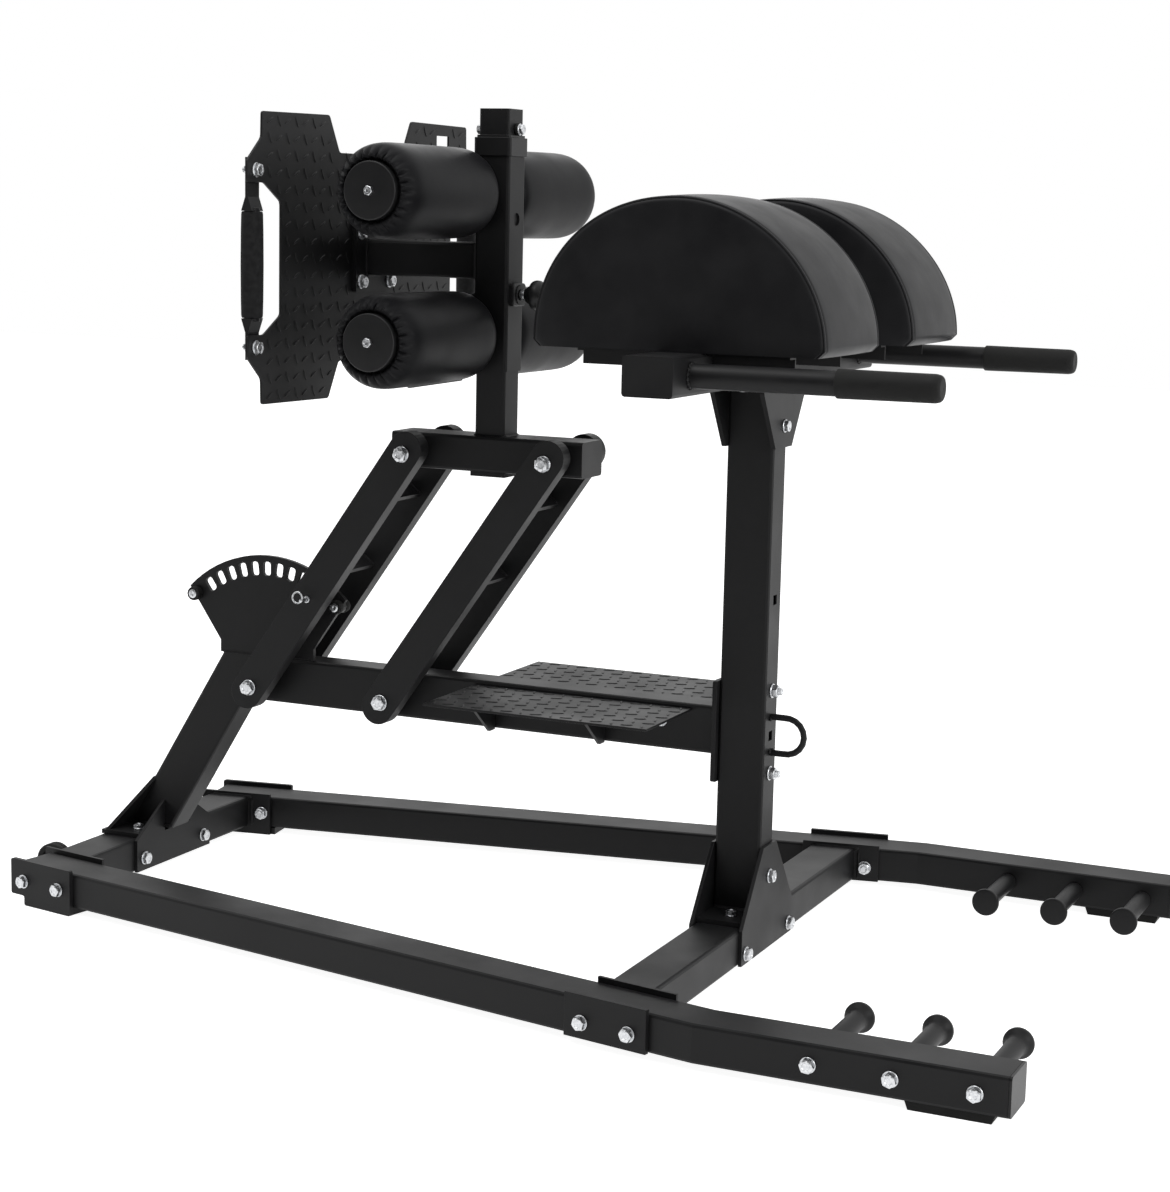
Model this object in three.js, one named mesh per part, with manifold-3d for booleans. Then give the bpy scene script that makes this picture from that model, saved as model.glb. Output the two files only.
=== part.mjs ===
import * as THREE from 'three';
import { mergeVertices } from 'three/addons/utils/BufferGeometryUtils.js';
import Module from 'manifold-3d';

const wasm = await Module();
wasm.setup();

// Driving dimensions in millimetres. X points forward to the hand grips, Y to the left and Z up.
// X = 0 is the middle of the main post, Y = 0 the plane of symmetry and Z = 0 the floor.
const tubeWide = 80;
const tubeNarrow = 60;
const tubeWall = 3;
const tubeCorner = 5;
const plateThick = 6;
const boltRadius = 6;
const washerRadius = 12;
const fit = 0.3;
const running = 0.6;
const overrun = 5;

const footHeight = 13;
const baseHalfWidth = 578;
const railFrontX = 607;
const railBendX = 148.5;
const railToe = THREE.MathUtils.degToRad(10.15);
const rearCrossX = -1166;

const headHeight = 950;
const beamTop = 417;
const strutLean = THREE.MathUtils.degToRad(31.2);

const pivotX = -905;
const pivotDrop = 46;
const pivotPitch = 264;
const linkLength = 525;
const linkLean = THREE.MathUtils.degToRad(35);

const rollerPostX = -469;
const rollerPostWide = 55;
const sleeveTravel = 100;
const sleeveLong = 355;
const rollerAxisBehind = 47.5;
const rollerAxisPitch = 234;
const footPlateBehind = 245;

// Places that follow from the driving dimensions
const railTop = footHeight + tubeNarrow;
const railCentreY = baseHalfWidth - tubeWide / 2;
const railMiddleZ = footHeight + tubeNarrow / 2;
const beamBottom = beamTop - tubeWide;
const pivotZ = beamTop - pivotDrop;
const swing = new THREE.Vector2(linkLength * Math.sin(linkLean), linkLength * Math.cos(linkLean));
const carriageZ = pivotZ + swing.y;
const sleeveAboveLinks = 142.85;
const sleeveBottom = carriageZ + sleeveAboveLinks;
const sleeveTop = sleeveBottom + sleeveLong;
const rollerAxisX = rollerPostX - rollerAxisBehind;
const footPlateX = rollerPostX - footPlateBehind;
const footPlateRise = 5;
const footPlateHeight = (sleeveBottom + sleeveTop) / 2 + footPlateRise;
const rollerAxisDrop = 1.5;
const rollerAxisHeights = [1, -1].map((way) =>
  (sleeveBottom + sleeveTop + way * rollerAxisPitch) / 2 - rollerAxisDrop);
const cornerSteps = 2;
const roundSides = 12;

// Finishes: black powder coat, zinc, black vinyl, black foam, rubber and hard black plastic
const finish = (color, roughness, metalness) =>
  new THREE.MeshStandardMaterial({ color, roughness, metalness });
const powderCoat = () => finish(0x1d1d1f, 0.55, 0.2);
const zinc = () => finish(0xc9ccd0, 0.3, 1);
const vinyl = () => finish(0x17171a, 0.5, 0);
const foam = () => finish(0x151517, 0.85, 0);
const rubber = () => finish(0x121213, 0.8, 0);
const plastic = () => finish(0x161617, 0.45, 0);

// The machine's group stands with its origin on the floor under the middle of its length
const machine = new THREE.Group();

// Outlines are lists of points in the plane across the way they are drawn out

function arc(u, v, radius, from, to, steps) {
  return Array.from({ length: steps + 1 }, (_, i) => {
    const angle = from + (to - from) * i / steps;
    return [u + radius * Math.cos(angle), v + radius * Math.sin(angle)];
  });
}

function circle(u, v, radius, sides = roundSides) {
  return arc(u, v, radius, 0, 2 * Math.PI, sides).slice(1);
}

function roundedBox(u, v, wide, tall, corner) {
  const du = wide / 2 - corner;
  const dv = tall / 2 - corner;
  return [[du, -dv, 3], [du, dv, 4], [-du, dv, 5], [-du, -dv, 6]].flatMap(([cu, cv, quarter]) =>
    arc(u + cu, v + cv, corner, quarter * Math.PI / 2, (quarter + 1) * Math.PI / 2, cornerSteps));
}

function softened(points, corner) {
  const corners = points.map(([u, v]) => new THREE.Vector2(u, v));
  return corners.flatMap((here, i) => {
    const before = corners[(i + corners.length - 1) % corners.length];
    const after = corners[(i + 1) % corners.length];
    const start = before.clone().sub(here).setLength(corner).add(here);
    const end = after.clone().sub(here).setLength(corner).add(here);
    return new THREE.QuadraticBezierCurve(start, here, end).getPoints(cornerSteps).map((p) => [p.x, p.y]);
  });
}

function bothSides(points) {
  const mirrored = points.map(([u, v]) => [-u, v]).reverse();
  return [...points, ...mirrored];
}

// Solids: an outline drawn out along an axis, with (y, z) points along X, (x, z) along Y, (x, y) along Z

const axisX = new THREE.Vector3(1, 0, 0);
const axisY = new THREE.Vector3(0, 1, 0);
const axisZ = new THREE.Vector3(0, 0, 1);
const turnToX = new THREE.Matrix4().makeBasis(axisY, axisZ, axisX);
const turnToY = new THREE.Matrix4().makeBasis(axisX, axisZ, axisY.clone().negate());

function drawn(axis, from, to, points, holes = [], steps = 1) {
  const shape = new THREE.Shape(points.map(([u, v]) => new THREE.Vector2(u, v)));
  shape.holes = holes.map((hole) => new THREE.Path(hole.map(([u, v]) => new THREE.Vector2(u, v))));
  const geometry = new THREE.ExtrudeGeometry(shape, { depth: to - from, steps, bevelEnabled: false });
  if (axis === 'x') return geometry.applyMatrix4(turnToX).translate(from, 0, 0);
  if (axis === 'y') return geometry.applyMatrix4(turnToY).translate(0, to, 0);
  return geometry.translate(0, 0, from);
}

function block(x0, x1, y0, y1, z0, z1) {
  const geometry = new THREE.BoxGeometry(x1 - x0, y1 - y0, z1 - z0);
  return geometry.translate((x0 + x1) / 2, (y0 + y1) / 2, (z0 + z1) / 2);
}

function boxTube(axis, from, to, u, v, wide, tall, steps = 1) {
  const inside = roundedBox(u, v, wide - 2 * tubeWall, tall - 2 * tubeWall, tubeCorner - tubeWall);
  return drawn(axis, from, to, roundedBox(u, v, wide, tall, tubeCorner), [inside], steps);
}

function rod(axis, from, to, u, v, radius, sides = roundSides) {
  return drawn(axis, from, to, circle(u, v, radius, sides));
}

function solid(shape) {
  if (shape instanceof wasm.Manifold) return shape;
  const plain = shape.clone();
  plain.deleteAttribute('normal');
  plain.deleteAttribute('uv');
  const merged = mergeVertices(plain);
  return new wasm.Manifold(new wasm.Mesh({
    numProp: 3,
    vertProperties: new Float32Array(merged.attributes.position.array),
    triVerts: new Uint32Array(merged.index.array),
  }));
}

function joined(...shapes) {
  return shapes.map(solid).reduce((whole, part) => whole.add(part));
}

function cut(shape, ...tools) {
  return tools.map(solid).reduce((rest, tool) => rest.subtract(tool), solid(shape));
}

function surface(shape) {
  const mesh = solid(shape).getMesh();
  const geometry = new THREE.BufferGeometry();
  geometry.setAttribute('position', new THREE.BufferAttribute(mesh.vertProperties, 3));
  geometry.setIndex(new THREE.BufferAttribute(mesh.triVerts, 1));
  geometry.computeVertexNormals();
  return geometry;
}

function otherSide(geometry) {
  const copy = geometry.clone().scale(1, -1, 1);
  const index = copy.index.array;
  for (let i = 0; i < index.length; i += 3) {
    [index[i], index[i + 1]] = [index[i + 1], index[i]];
  }
  return copy;
}

function add(name, shape, material, parent = machine) {
  const geometry = shape.isBufferGeometry ? shape : surface(shape);
  const mesh = new THREE.Mesh(geometry, material());
  mesh.name = name;
  parent.add(mesh);
}

function addPair(name, shape, material, parent = machine) {
  const right = surface(shape);
  add(`right_${name}`, right, material, parent);
  add(`left_${name}`, otherSide(right), material, parent);
}

function group(x, z, lean = 0) {
  const frame = new THREE.Group();
  frame.position.set(x, 0, z);
  frame.rotation.y = lean;
  machine.add(frame);
  return frame;
}

// Base rails: one tube a side, straight in front and mitred to toe in behind the bend.
// A tube of unit half length is drawn in three stations, and each station goes to its place.
const railBeyondCross = 44;
const railRearLength = (railBendX - rearCrossX + railBeyondCross) / Math.cos(railToe);
const unitRail = boxTube('x', -1, 1, 0, 0, tubeWide, tubeNarrow, 2);
const railPoints = unitRail.attributes.position;
for (let i = 0; i < railPoints.count; i += 1) {
  const station = Math.round(railPoints.getX(i));
  const inward = railPoints.getY(i);
  if (station === 1) railPoints.setX(i, railFrontX - railBendX);
  if (station === 0) railPoints.setX(i, inward * Math.tan(railToe / 2));
  if (station === -1) {
    railPoints.setX(i, inward * Math.sin(railToe) - railRearLength * Math.cos(railToe));
    railPoints.setY(i, inward * Math.cos(railToe) + railRearLength * Math.sin(railToe));
  }
}
addPair('base_rail', unitRail.translate(railBendX, -railCentreY, railMiddleZ), powderCoat);

// Moves a shape drawn beside the toed part of the right rail, with y = 0 on its centre line and
// positive y inward, to its place; alongRail gives the rail's own x of a place on its centre line
const beside = (geometry) => geometry.rotateZ(-railToe).translate(railBendX, -railCentreY, 0);
const alongRail = (x) => (x - railBendX) / Math.cos(railToe);

// Plastic end caps close the rails' front ends
const capThick = 4;
const capLip = 12;
const capOutline = roundedBox(-railCentreY, railMiddleZ, tubeWide, tubeNarrow, tubeCorner);
const plugWide = tubeWide - 2 * (tubeWall + fit);
const plugTall = tubeNarrow - 2 * (tubeWall + fit);
const plugOutline = roundedBox(-railCentreY, railMiddleZ, plugWide, plugTall, tubeCorner - tubeWall);
addPair('rail_end_cap', joined(
  drawn('x', railFrontX + fit, railFrontX + fit + capThick, capOutline),
  drawn('x', railFrontX - capLip, railFrontX + fit + capThick / 2, plugOutline),
), plastic);

// Crossmembers between the rails, each with a welded end plate that is bolted to the rail.
// The hole through the end plates drains the tube; the plates stand a little above the rail.
const endPlateRise = 7;
const endPlateHalf = 70;
const drainRadius = 10;
const insideFace = tubeWide / 2 + fit;
const endPlateTop = railTop + endPlateRise;

function crossmember(x, bottom, ...extras) {
  const reach = baseHalfWidth;
  const tube = boxTube('y', -reach, reach, x, railMiddleZ, tubeWide, tubeNarrow);
  const middle = alongRail(x) + tubeWide / 2 * Math.tan(railToe);
  const ends = [middle - endPlateHalf, middle + endPlateHalf];
  const beyond = surface(beside(block(ends[0] - tubeWide, ends[1] + tubeWide,
    -reach, insideFace + plateThick / 2, -overrun, endPlateTop + overrun)));
  const plate = surface(beside(block(ends[0], ends[1],
    insideFace, insideFace + plateThick, bottom, endPlateTop)));
  const trimmed = cut(tube, beyond, otherSide(beyond));
  const drain = rod('y', -reach, reach, x, railMiddleZ, drainRadius);
  return cut(joined(trimmed, plate, otherSide(plate), ...extras), drain);
}

add('front_crossmember', crossmember(0, footHeight), powderCoat);

// Transport wheels behind the rear crossmember, each on a pin between two welded cheeks
const wheelRadius = 32;
const wheelWide = 28;
const wheelInset = 130.7;
const wheelBehind = 44;
const wheelHeight = 36;
const wheelPinRadius = 5;
const cheekThick = 4;
const cheekHalf = 12;
const rearFace = rearCrossX - tubeWide / 2;
const wheelX = rearFace - wheelBehind;
const rearCrossHalfY = railCentreY - (railBendX - rearCrossX) * Math.tan(railToe);
const wheelInnerY = rearCrossHalfY - wheelInset;
const cheekInnerY = wheelInnerY - running - cheekThick;
const cheekOuterY = wheelInnerY + wheelWide + running;
const wheelMiddleY = wheelInnerY + wheelWide / 2;

function wheelFork() {
  const cheek = [
    [rearFace + tubeWall / 2, wheelHeight - cheekHalf],
    [rearFace + tubeWall / 2, wheelHeight + cheekHalf],
    ...arc(wheelX, wheelHeight, cheekHalf, Math.PI / 2, Math.PI * 3 / 2, roundSides / 2),
  ];
  return joined(
    drawn('y', -cheekOuterY - cheekThick, -cheekOuterY, cheek),
    drawn('y', -cheekInnerY - cheekThick, -cheekInnerY, cheek),
    rod('y', -cheekOuterY - cheekThick / 2, -cheekInnerY - cheekThick / 2,
      wheelX, wheelHeight, wheelPinRadius),
  );
}

const rightFork = surface(wheelFork());
add('rear_crossmember', crossmember(rearCrossX, 0, rightFork, otherSide(rightFork)), powderCoat);

const wheelRim = 5;
const wheelBore = wheelPinRadius + running;
const wheelProfile = [
  [wheelBore, -wheelWide / 2], [wheelRadius - wheelRim, -wheelWide / 2],
  [wheelRadius, wheelRim - wheelWide / 2], [wheelRadius, wheelWide / 2 - wheelRim],
  [wheelRadius - wheelRim, wheelWide / 2], [wheelBore, wheelWide / 2], [wheelBore, -wheelWide / 2],
].map(([r, y]) => new THREE.Vector2(r, y));
const wheel = new THREE.LatheGeometry(wheelProfile, roundSides * 2);
addPair('transport_wheel', wheel.translate(0, -wheelMiddleY, 0), rubber, group(wheelX, wheelHeight));

// Outer clamp plates on the rails' outer faces, over the ends of both crossmembers
const clampThick = 8;
const clampHalf = 72;
const outerFace = -tubeWide / 2 - fit;
const frontClampX = 10;
const rearClampForward = 17;
const rearClampX = rearCrossX + rearClampForward;
const clampFrontEnds = [alongRail(frontClampX) - clampHalf, alongRail(frontClampX) + clampHalf];
addPair('front_clamp_plate', beside(block(clampFrontEnds[0], clampFrontEnds[1],
  outerFace - clampThick, outerFace, footHeight, endPlateTop)), powderCoat);

// The rear plate reaches the floor, with a step at its rear corner and a foot turned in under the rail
const heelLong = 32;
const heelHigh = 17;
const heelCorner = 4;
const clampRearEnds = [alongRail(rearClampX) - clampHalf, alongRail(rearClampX) + clampHalf];
const rearClampOutline = softened([
  [clampRearEnds[0], endPlateTop], [clampRearEnds[0], heelHigh],
  [clampRearEnds[0] + heelLong, heelHigh], [clampRearEnds[0] + heelLong, 0],
  [clampRearEnds[1], 0], [clampRearEnds[1], endPlateTop],
], heelCorner);
addPair('rear_clamp_plate', joined(
  surface(beside(drawn('y', outerFace - clampThick, outerFace, rearClampOutline))),
  surface(beside(block(clampRearEnds[0] + heelLong + heelCorner, clampRearEnds[1] - heelCorner,
    outerFace - clampThick / 2, insideFace - 2 * fit, 0, footHeight - fit))),
), powderCoat);

// Rubber feet under the front ends of the rails, tapering to the floor
const footRearX = 460;
const footLong = 129;
const footTaper = 5;
const footWide = 68;
addPair('front_foot', drawn('y', -railCentreY - footWide / 2, -railCentreY + footWide / 2, [
  [footRearX, footHeight - fit], [footRearX + footTaper, 0],
  [footRearX + footLong - footTaper, 0], [footRearX + footLong, footHeight - fit],
]), rubber);

// Band pegs: three a side, standing inward from the rails, each with a flared disc at its end
const pegRearX = 321;
const pegPitch = 120;
const pegLength = 155;
const pegRadius = 15;
const pegDiscRadius = 23.5;
const pegDiscThick = 9;
const pegFlare = 12;
const pegRim = 3;
const pegHeight = 42;
const pegRootY = railCentreY - tubeWide / 2 - fit;
const pegProfile = [
  [0, 0], [pegRadius, 0], [pegRadius, pegLength - pegDiscThick - pegFlare],
  [pegDiscRadius - pegRim, pegLength - pegDiscThick], [pegDiscRadius, pegLength - pegDiscThick + pegRim],
  [pegDiscRadius, pegLength - pegRim], [pegDiscRadius - pegRim, pegLength], [0, pegLength],
].map(([r, y]) => new THREE.Vector2(r, y));
for (const [index, place] of ['rear', 'middle', 'front'].entries()) {
  const peg = new THREE.LatheGeometry(pegProfile, roundSides);
  peg.translate(pegRearX + index * pegPitch, -pegRootY, pegHeight);
  addPair(`${place}_band_peg`, peg, powderCoat);
}

// Rear strut: a tube that leans forward from the rear crossmember to the rear end of the beam,
// on a welded base plate with a gusset in front and one behind
const basePlateThick = 8;
const baseTop = railTop + fit + basePlateThick;
const strutBaseHalfY = 105;
const gussetHalfY = 118;
const gussetTopZ = 190;
const gussetStepZ = 72;
const gussetTopHalfY = 30;
const rearGussetLong = 108;
const strutFootForward = 10;
const strutFootX = rearCrossX + strutFootForward;
const gussetOutline = bothSides([
  [gussetHalfY, footHeight], [gussetHalfY, gussetStepZ], [gussetTopHalfY, gussetTopZ],
]);
const strutX = (z) => strutFootX + (z - railTop) * Math.tan(strutLean);
const strutEdge = tubeWide / 2 / Math.cos(strutLean);
const strutRun = (beamTop - railTop) / Math.cos(strutLean) + tubeWide;

function rearStrut() {
  const tube = boxTube('z', -tubeWide, strutRun, 0, 0, tubeWide, tubeNarrow);
  tube.rotateY(strutLean).translate(strutFootX, 0, railTop);
  const floorBlock = block(strutX(0) - tubeWide * 2, strutX(railTop) + tubeWide * 2,
    -tubeWide, tubeWide, -tubeWide, baseTop - basePlateThick / 2);
  const topBlock = block(strutX(beamTop) - tubeWide * 2, strutX(beamTop) + tubeWide * 2,
    -tubeWide, tubeWide, beamTop, beamTop + tubeWide * 2);
  const basePlate = block(rearCrossX - tubeWide / 2, rearCrossX + tubeWide / 2,
    -strutBaseHalfY, strutBaseHalfY, baseTop - basePlateThick, baseTop);
  const ventHole = rod('z', railTop, baseTop + overrun, strutX(baseTop), 0, drainRadius);
  const heel = [
    [-strutBaseHalfY, 0], [strutBaseHalfY, 0],
    [gussetTopHalfY, rearGussetLong], [-gussetTopHalfY, rearGussetLong],
  ];
  const rearGusset = drawn('z', -plateThick / 2, plateThick / 2,
    heel.map(([y, along]) => [along, y]));
  rearGusset.rotateY(strutLean - Math.PI / 2);
  rearGusset.translate(strutX(baseTop) - strutEdge, 0, baseTop - basePlateThick / 2);
  return cut(joined(cut(tube, floorBlock, topBlock), basePlate, rearGusset), ventHole);
}

add('rear_strut', rearStrut(), powderCoat);

// The front gusset is notched to pass on both sides of the strut
const strutGussetTopZ = 130;
const notchHalfY = tubeNarrow / 2 + fit;
const strutFaceX = rearCrossX + tubeWide / 2 + fit;
add('strut_gusset', drawn('x', strutFaceX, strutFaceX + plateThick, bothSides([
  [gussetHalfY, footHeight], [gussetHalfY, gussetStepZ],
  [notchHalfY, strutGussetTopZ], [notchHalfY, baseTop - basePlateThick],
])), powderCoat);

// Beam: from the strut's front face to the end plate on the main post's rear face
const endPlateX = -tubeWide / 2 - fit;
const beamPlateThick = 8;
const beamPlateBottom = 292;
const beamPlateTop = 461;
const beamPlateHalfY = 40;
const pivotHole = boltRadius + running;

function beam() {
  const tube = boxTube('x', strutX(beamBottom) - tubeWide, endPlateX - beamPlateThick / 2,
    0, beamTop - tubeWide / 2, tubeNarrow, tubeWide);
  const behind = drawn('y', -tubeWide, tubeWide, [
    [strutX(0) - tubeWide * 2, 0], [strutX(0) + strutEdge + fit, 0],
    [strutX(beamTop * 2) + strutEdge + fit, beamTop * 2], [strutX(0) - tubeWide * 2, beamTop * 2],
  ]);
  const plate = drawn('x', endPlateX - beamPlateThick, endPlateX,
    softened([[-beamPlateHalfY, beamPlateBottom], [beamPlateHalfY, beamPlateBottom],
      [beamPlateHalfY, beamPlateTop], [-beamPlateHalfY, beamPlateTop]], tubeCorner));
  const holes = [pivotX, pivotX + pivotPitch].map((x) =>
    rod('y', -tubeWide, tubeWide, x, pivotZ, pivotHole));
  return cut(joined(cut(tube, behind), plate), ...holes);
}

add('beam', beam(), powderCoat);

// Sector plate: a fan with eleven radial slots about the rear link's lower pivot, on a straight neck.
// It stands to the right of the beam's middle and has a stop at each end: a bumper on both faces.
const sectorY = -22;
const sectorRadius = 227;
const sectorThick = 8;
const sectorHalfAngle = THREE.MathUtils.degToRad(45);
const sectorNeckHalf = 96;
const sectorNeckRise = 68;
const slotRadius = 203.5;
const slotSpacing = THREE.MathUtils.degToRad(7);
const slotCount = 11;
const slotWide = 16;
const slotLong = 25;
const slotCorner = 5;
const stopRadius = 208;
const stopAngle = THREE.MathUtils.degToRad(44.5);
const bumperRadius = 12;
const bumperReach = 18;
const sectorArcSteps = 20;

function sectorPlate() {
  const weldLine = pivotDrop + fit;
  const edge = [
    [-sectorNeckHalf, weldLine], [sectorNeckHalf, weldLine], [sectorNeckHalf, sectorNeckRise],
    ...arc(0, 0, sectorRadius, Math.PI / 2 - sectorHalfAngle, Math.PI / 2 + sectorHalfAngle,
      sectorArcSteps),
    [-sectorNeckHalf, sectorNeckRise],
  ];
  const slots = Array.from({ length: slotCount }, (_, i) => {
    const angle = (i - (slotCount - 1) / 2) * slotSpacing;
    return roundedBox(0, slotRadius, slotWide, slotLong, slotCorner).map(([x, z]) =>
      [x * Math.cos(angle) + z * Math.sin(angle), z * Math.cos(angle) - x * Math.sin(angle)]);
  });
  const plate = drawn('y', sectorY - sectorThick / 2, sectorY + sectorThick / 2, edge, slots);
  const stops = [-stopAngle, stopAngle].map((angle) => rod('y', sectorY - bumperReach,
    sectorY + bumperReach, stopRadius * Math.sin(angle), stopRadius * Math.cos(angle), bumperRadius));
  return joined(plate, ...stops);
}

add('sector_plate', sectorPlate(), powderCoat, group(pivotX, pivotZ));

// Steps: a tread plate on each side of the beam, carried by two brackets under it
const stepRearX = -487;
const stepLong = 399;
const stepOuterY = 219;
const stepThick = 4;
const stepBelowBeam = 7.5;
const stepBracketXs = [-450, -245];
const stepBracketOuterY = 132;
const stepBracketFootY = 49;
const stepBracketDrop = 74;
const stepBracketEdge = 3;
const stepTop = beamTop - stepBelowBeam;
const stepInnerY = tubeNarrow / 2 + fit;
addPair('step_plate', joined(
  block(stepRearX, stepRearX + stepLong, -stepOuterY, -stepInnerY, stepTop - stepThick, stepTop),
  ...stepBracketXs.map((x) => drawn('x', x - plateThick / 2, x + plateThick / 2, [
    [-stepInnerY, stepTop - stepThick / 2], [-stepBracketOuterY, stepTop - stepThick / 2],
    [-stepBracketOuterY, stepTop - stepThick - stepBracketEdge],
    [-stepBracketFootY, stepTop - stepBracketDrop], [-stepInnerY, stepTop - stepBracketDrop],
  ])),
), powderCoat);

// Main post: a tube on a base plate, with a head plate and two head gussets under the crossbar
const postBaseHalfY = 105;
const headPlateThick = 6;
const headHalfY = 98;
const headNeckHalfY = 38;
const headGussetDrop = 105;
const headGussetStep = 14;
const squareHole = 16;
const squareHoleHeights = [372, 597];
const headTop = headHeight - fit;
const postFace = tubeWide / 2;

function mainPost() {
  const headGusset = bothSides([
    [headNeckHalfY, headHeight - headGussetDrop], [headHalfY, headHeight - headGussetStep],
    [headHalfY, headTop],
  ]);
  const body = joined(
    boxTube('z', baseTop - basePlateThick / 2, headTop - headPlateThick / 2, 0, 0, tubeWide, tubeNarrow),
    block(-postFace, postFace, -postBaseHalfY, postBaseHalfY, baseTop - basePlateThick, baseTop),
    block(-postFace - plateThick, postFace + plateThick, -headHalfY, headHalfY,
      headTop - headPlateThick, headTop),
    drawn('x', postFace - tubeWall / 2, postFace + plateThick, headGusset),
    drawn('x', -postFace - plateThick, tubeWall / 2 - postFace, headGusset),
  );
  const holes = squareHoleHeights.map((z) => block(0, tubeWide,
    -squareHole / 2, squareHole / 2, z - squareHole / 2, z + squareHole / 2));
  return cut(body, ...holes);
}

add('main_post', mainPost(), powderCoat);
for (const [place, rear] of [['front', postFace + fit], ['rear', -postFace - fit - plateThick]]) {
  add(`${place}_post_gusset`, drawn('x', rear, rear + plateThick, gussetOutline), powderCoat);
}

// Band ring: a round bar bent to a loop and welded by both legs to the post's front face
const ringBarRadius = 5.5;
const ringTopZ = 404;
const ringBottomZ = 344;
const ringBend = 30;
const ringReach = 58;
const ringSteps = 14;
const ringBarSides = 8;
const ringPath = new THREE.CurvePath();
const ringBendX = postFace + ringReach - ringBend;
ringPath.add(new THREE.LineCurve3(new THREE.Vector3(postFace + fit, 0, ringTopZ),
  new THREE.Vector3(ringBendX, 0, ringTopZ)));
class HalfTurn extends THREE.Curve {
  getPoint(share) {
    const angle = Math.PI / 2 - share * Math.PI;
    return new THREE.Vector3(ringBendX + ringBend * Math.cos(angle), 0,
      (ringTopZ + ringBottomZ) / 2 + (ringTopZ - ringBottomZ) / 2 * Math.sin(angle));
  }
}
ringPath.add(new HalfTurn());
ringPath.add(new THREE.LineCurve3(new THREE.Vector3(ringBendX, 0, ringBottomZ),
  new THREE.Vector3(postFace + fit, 0, ringBottomZ)));
const ringSection = new THREE.Shape(circle(0, 0, ringBarRadius, ringBarSides)
  .map(([u, v]) => new THREE.Vector2(u, v)));
add('band_ring', new THREE.ExtrudeGeometry(ringSection,
  { extrudePath: ringPath, steps: ringSteps, bevelEnabled: false }), powderCoat);

// Crossbar: a tube closed by end plates, with angle bars welded to its faces to carry the pads
const crossbarHalfY = 460;
const crossbarTop = headHeight + tubeNarrow;
const crossbarMiddleZ = headHeight + tubeNarrow / 2;
const angleLeg = 25;
const angleThick = 4;
const angleReach = 170;
const padInnerY = 87;
const padOuterY = 342;
const padEdgeInset = 12;
const handleY = 390;
const handleRadius = 18.5;

function angleBar(outerY) {
  const section = [
    [outerY, crossbarTop], [outerY, crossbarTop - angleLeg], [outerY - angleThick, crossbarTop - angleLeg],
    [outerY - angleThick, crossbarTop - angleThick], [outerY - angleLeg, crossbarTop - angleThick],
    [outerY - angleLeg, crossbarTop],
  ];
  return [drawn('x', postFace - tubeWall / 2, angleReach, section),
    drawn('x', -angleReach, tubeWall / 2 - postFace, section)];
}

function crossbar() {
  const tube = boxTube('y', -crossbarHalfY, crossbarHalfY, 0, crossbarMiddleZ, tubeWide, tubeNarrow);
  const endOutline = roundedBox(0, crossbarMiddleZ, tubeWide, tubeNarrow, tubeCorner);
  const ends = [
    drawn('y', crossbarHalfY - tubeWall, crossbarHalfY, endOutline),
    drawn('y', -crossbarHalfY, tubeWall - crossbarHalfY, endOutline),
  ];
  const outerY = padOuterY - padEdgeInset;
  const innerY = padInnerY + padEdgeInset + angleLeg;
  const bars = [outerY, innerY].flatMap((y) => [...angleBar(y), ...angleBar(angleLeg - y)]);
  const openings = [-handleY, handleY].map((y) =>
    rod('x', 0, tubeWide, y, crossbarMiddleZ, handleRadius - tubeWall));
  return cut(joined(tube, ...ends, ...bars), ...openings);
}

add('crossbar', crossbar(), powderCoat);

// Handles: a round tube a side, welded to the crossbar's front face, with a rubber grip on its end
const handleFrontX = 418;
const gripRearX = 264;
const gripRadius = 21;
const gripEnd = 4;
const gripRound = 4;
const handleSides = 16;
const handleTubeEnd = handleFrontX - gripEnd - fit;
addPair('handle', drawn('x', postFace + fit, handleTubeEnd,
  circle(-handleY, crossbarMiddleZ, handleRadius, handleSides),
  [circle(-handleY, crossbarMiddleZ, handleRadius - tubeWall, handleSides)]), powderCoat);

const gripInner = handleRadius + fit;
const gripProfile = [
  [0, handleTubeEnd + fit], [gripInner, handleTubeEnd + fit], [gripInner, gripRearX],
  [gripRadius - gripRound / 2, gripRearX], [gripRadius, gripRearX + gripRound / 2],
  [gripRadius, handleFrontX - gripRound], [gripRadius - gripRound, handleFrontX], [0, handleFrontX],
].map(([r, along]) => new THREE.Vector2(r, along));
const grip = new THREE.LatheGeometry(gripProfile, handleSides).rotateZ(-Math.PI / 2);
addPair('handle_grip', grip.translate(0, -handleY, crossbarMiddleZ), rubber);

// Thigh pads: a half moon in side view, crowned across its width and drawn in at both side faces.
// A ring of points follows the half moon at each station across the width.
const padRearX = -240;
const padLong = 466;
const padRise = 228;
const padLowerEdge = 10;
const padRearPower = 2.15;
const padFrontPower = 1.9;
const padCrown = 4;
const padSidePuff = 3;
const padRimRound = 14;
const padRoundSteps = 28;
const padBaseSteps = 4;
const padHalf = padLong / 2;
const padMiddleX = padRearX + padHalf;
const padHalfWide = (padOuterY - padInnerY) / 2;
const padMiddleY = (padOuterY + padInnerY) / 2;

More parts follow.
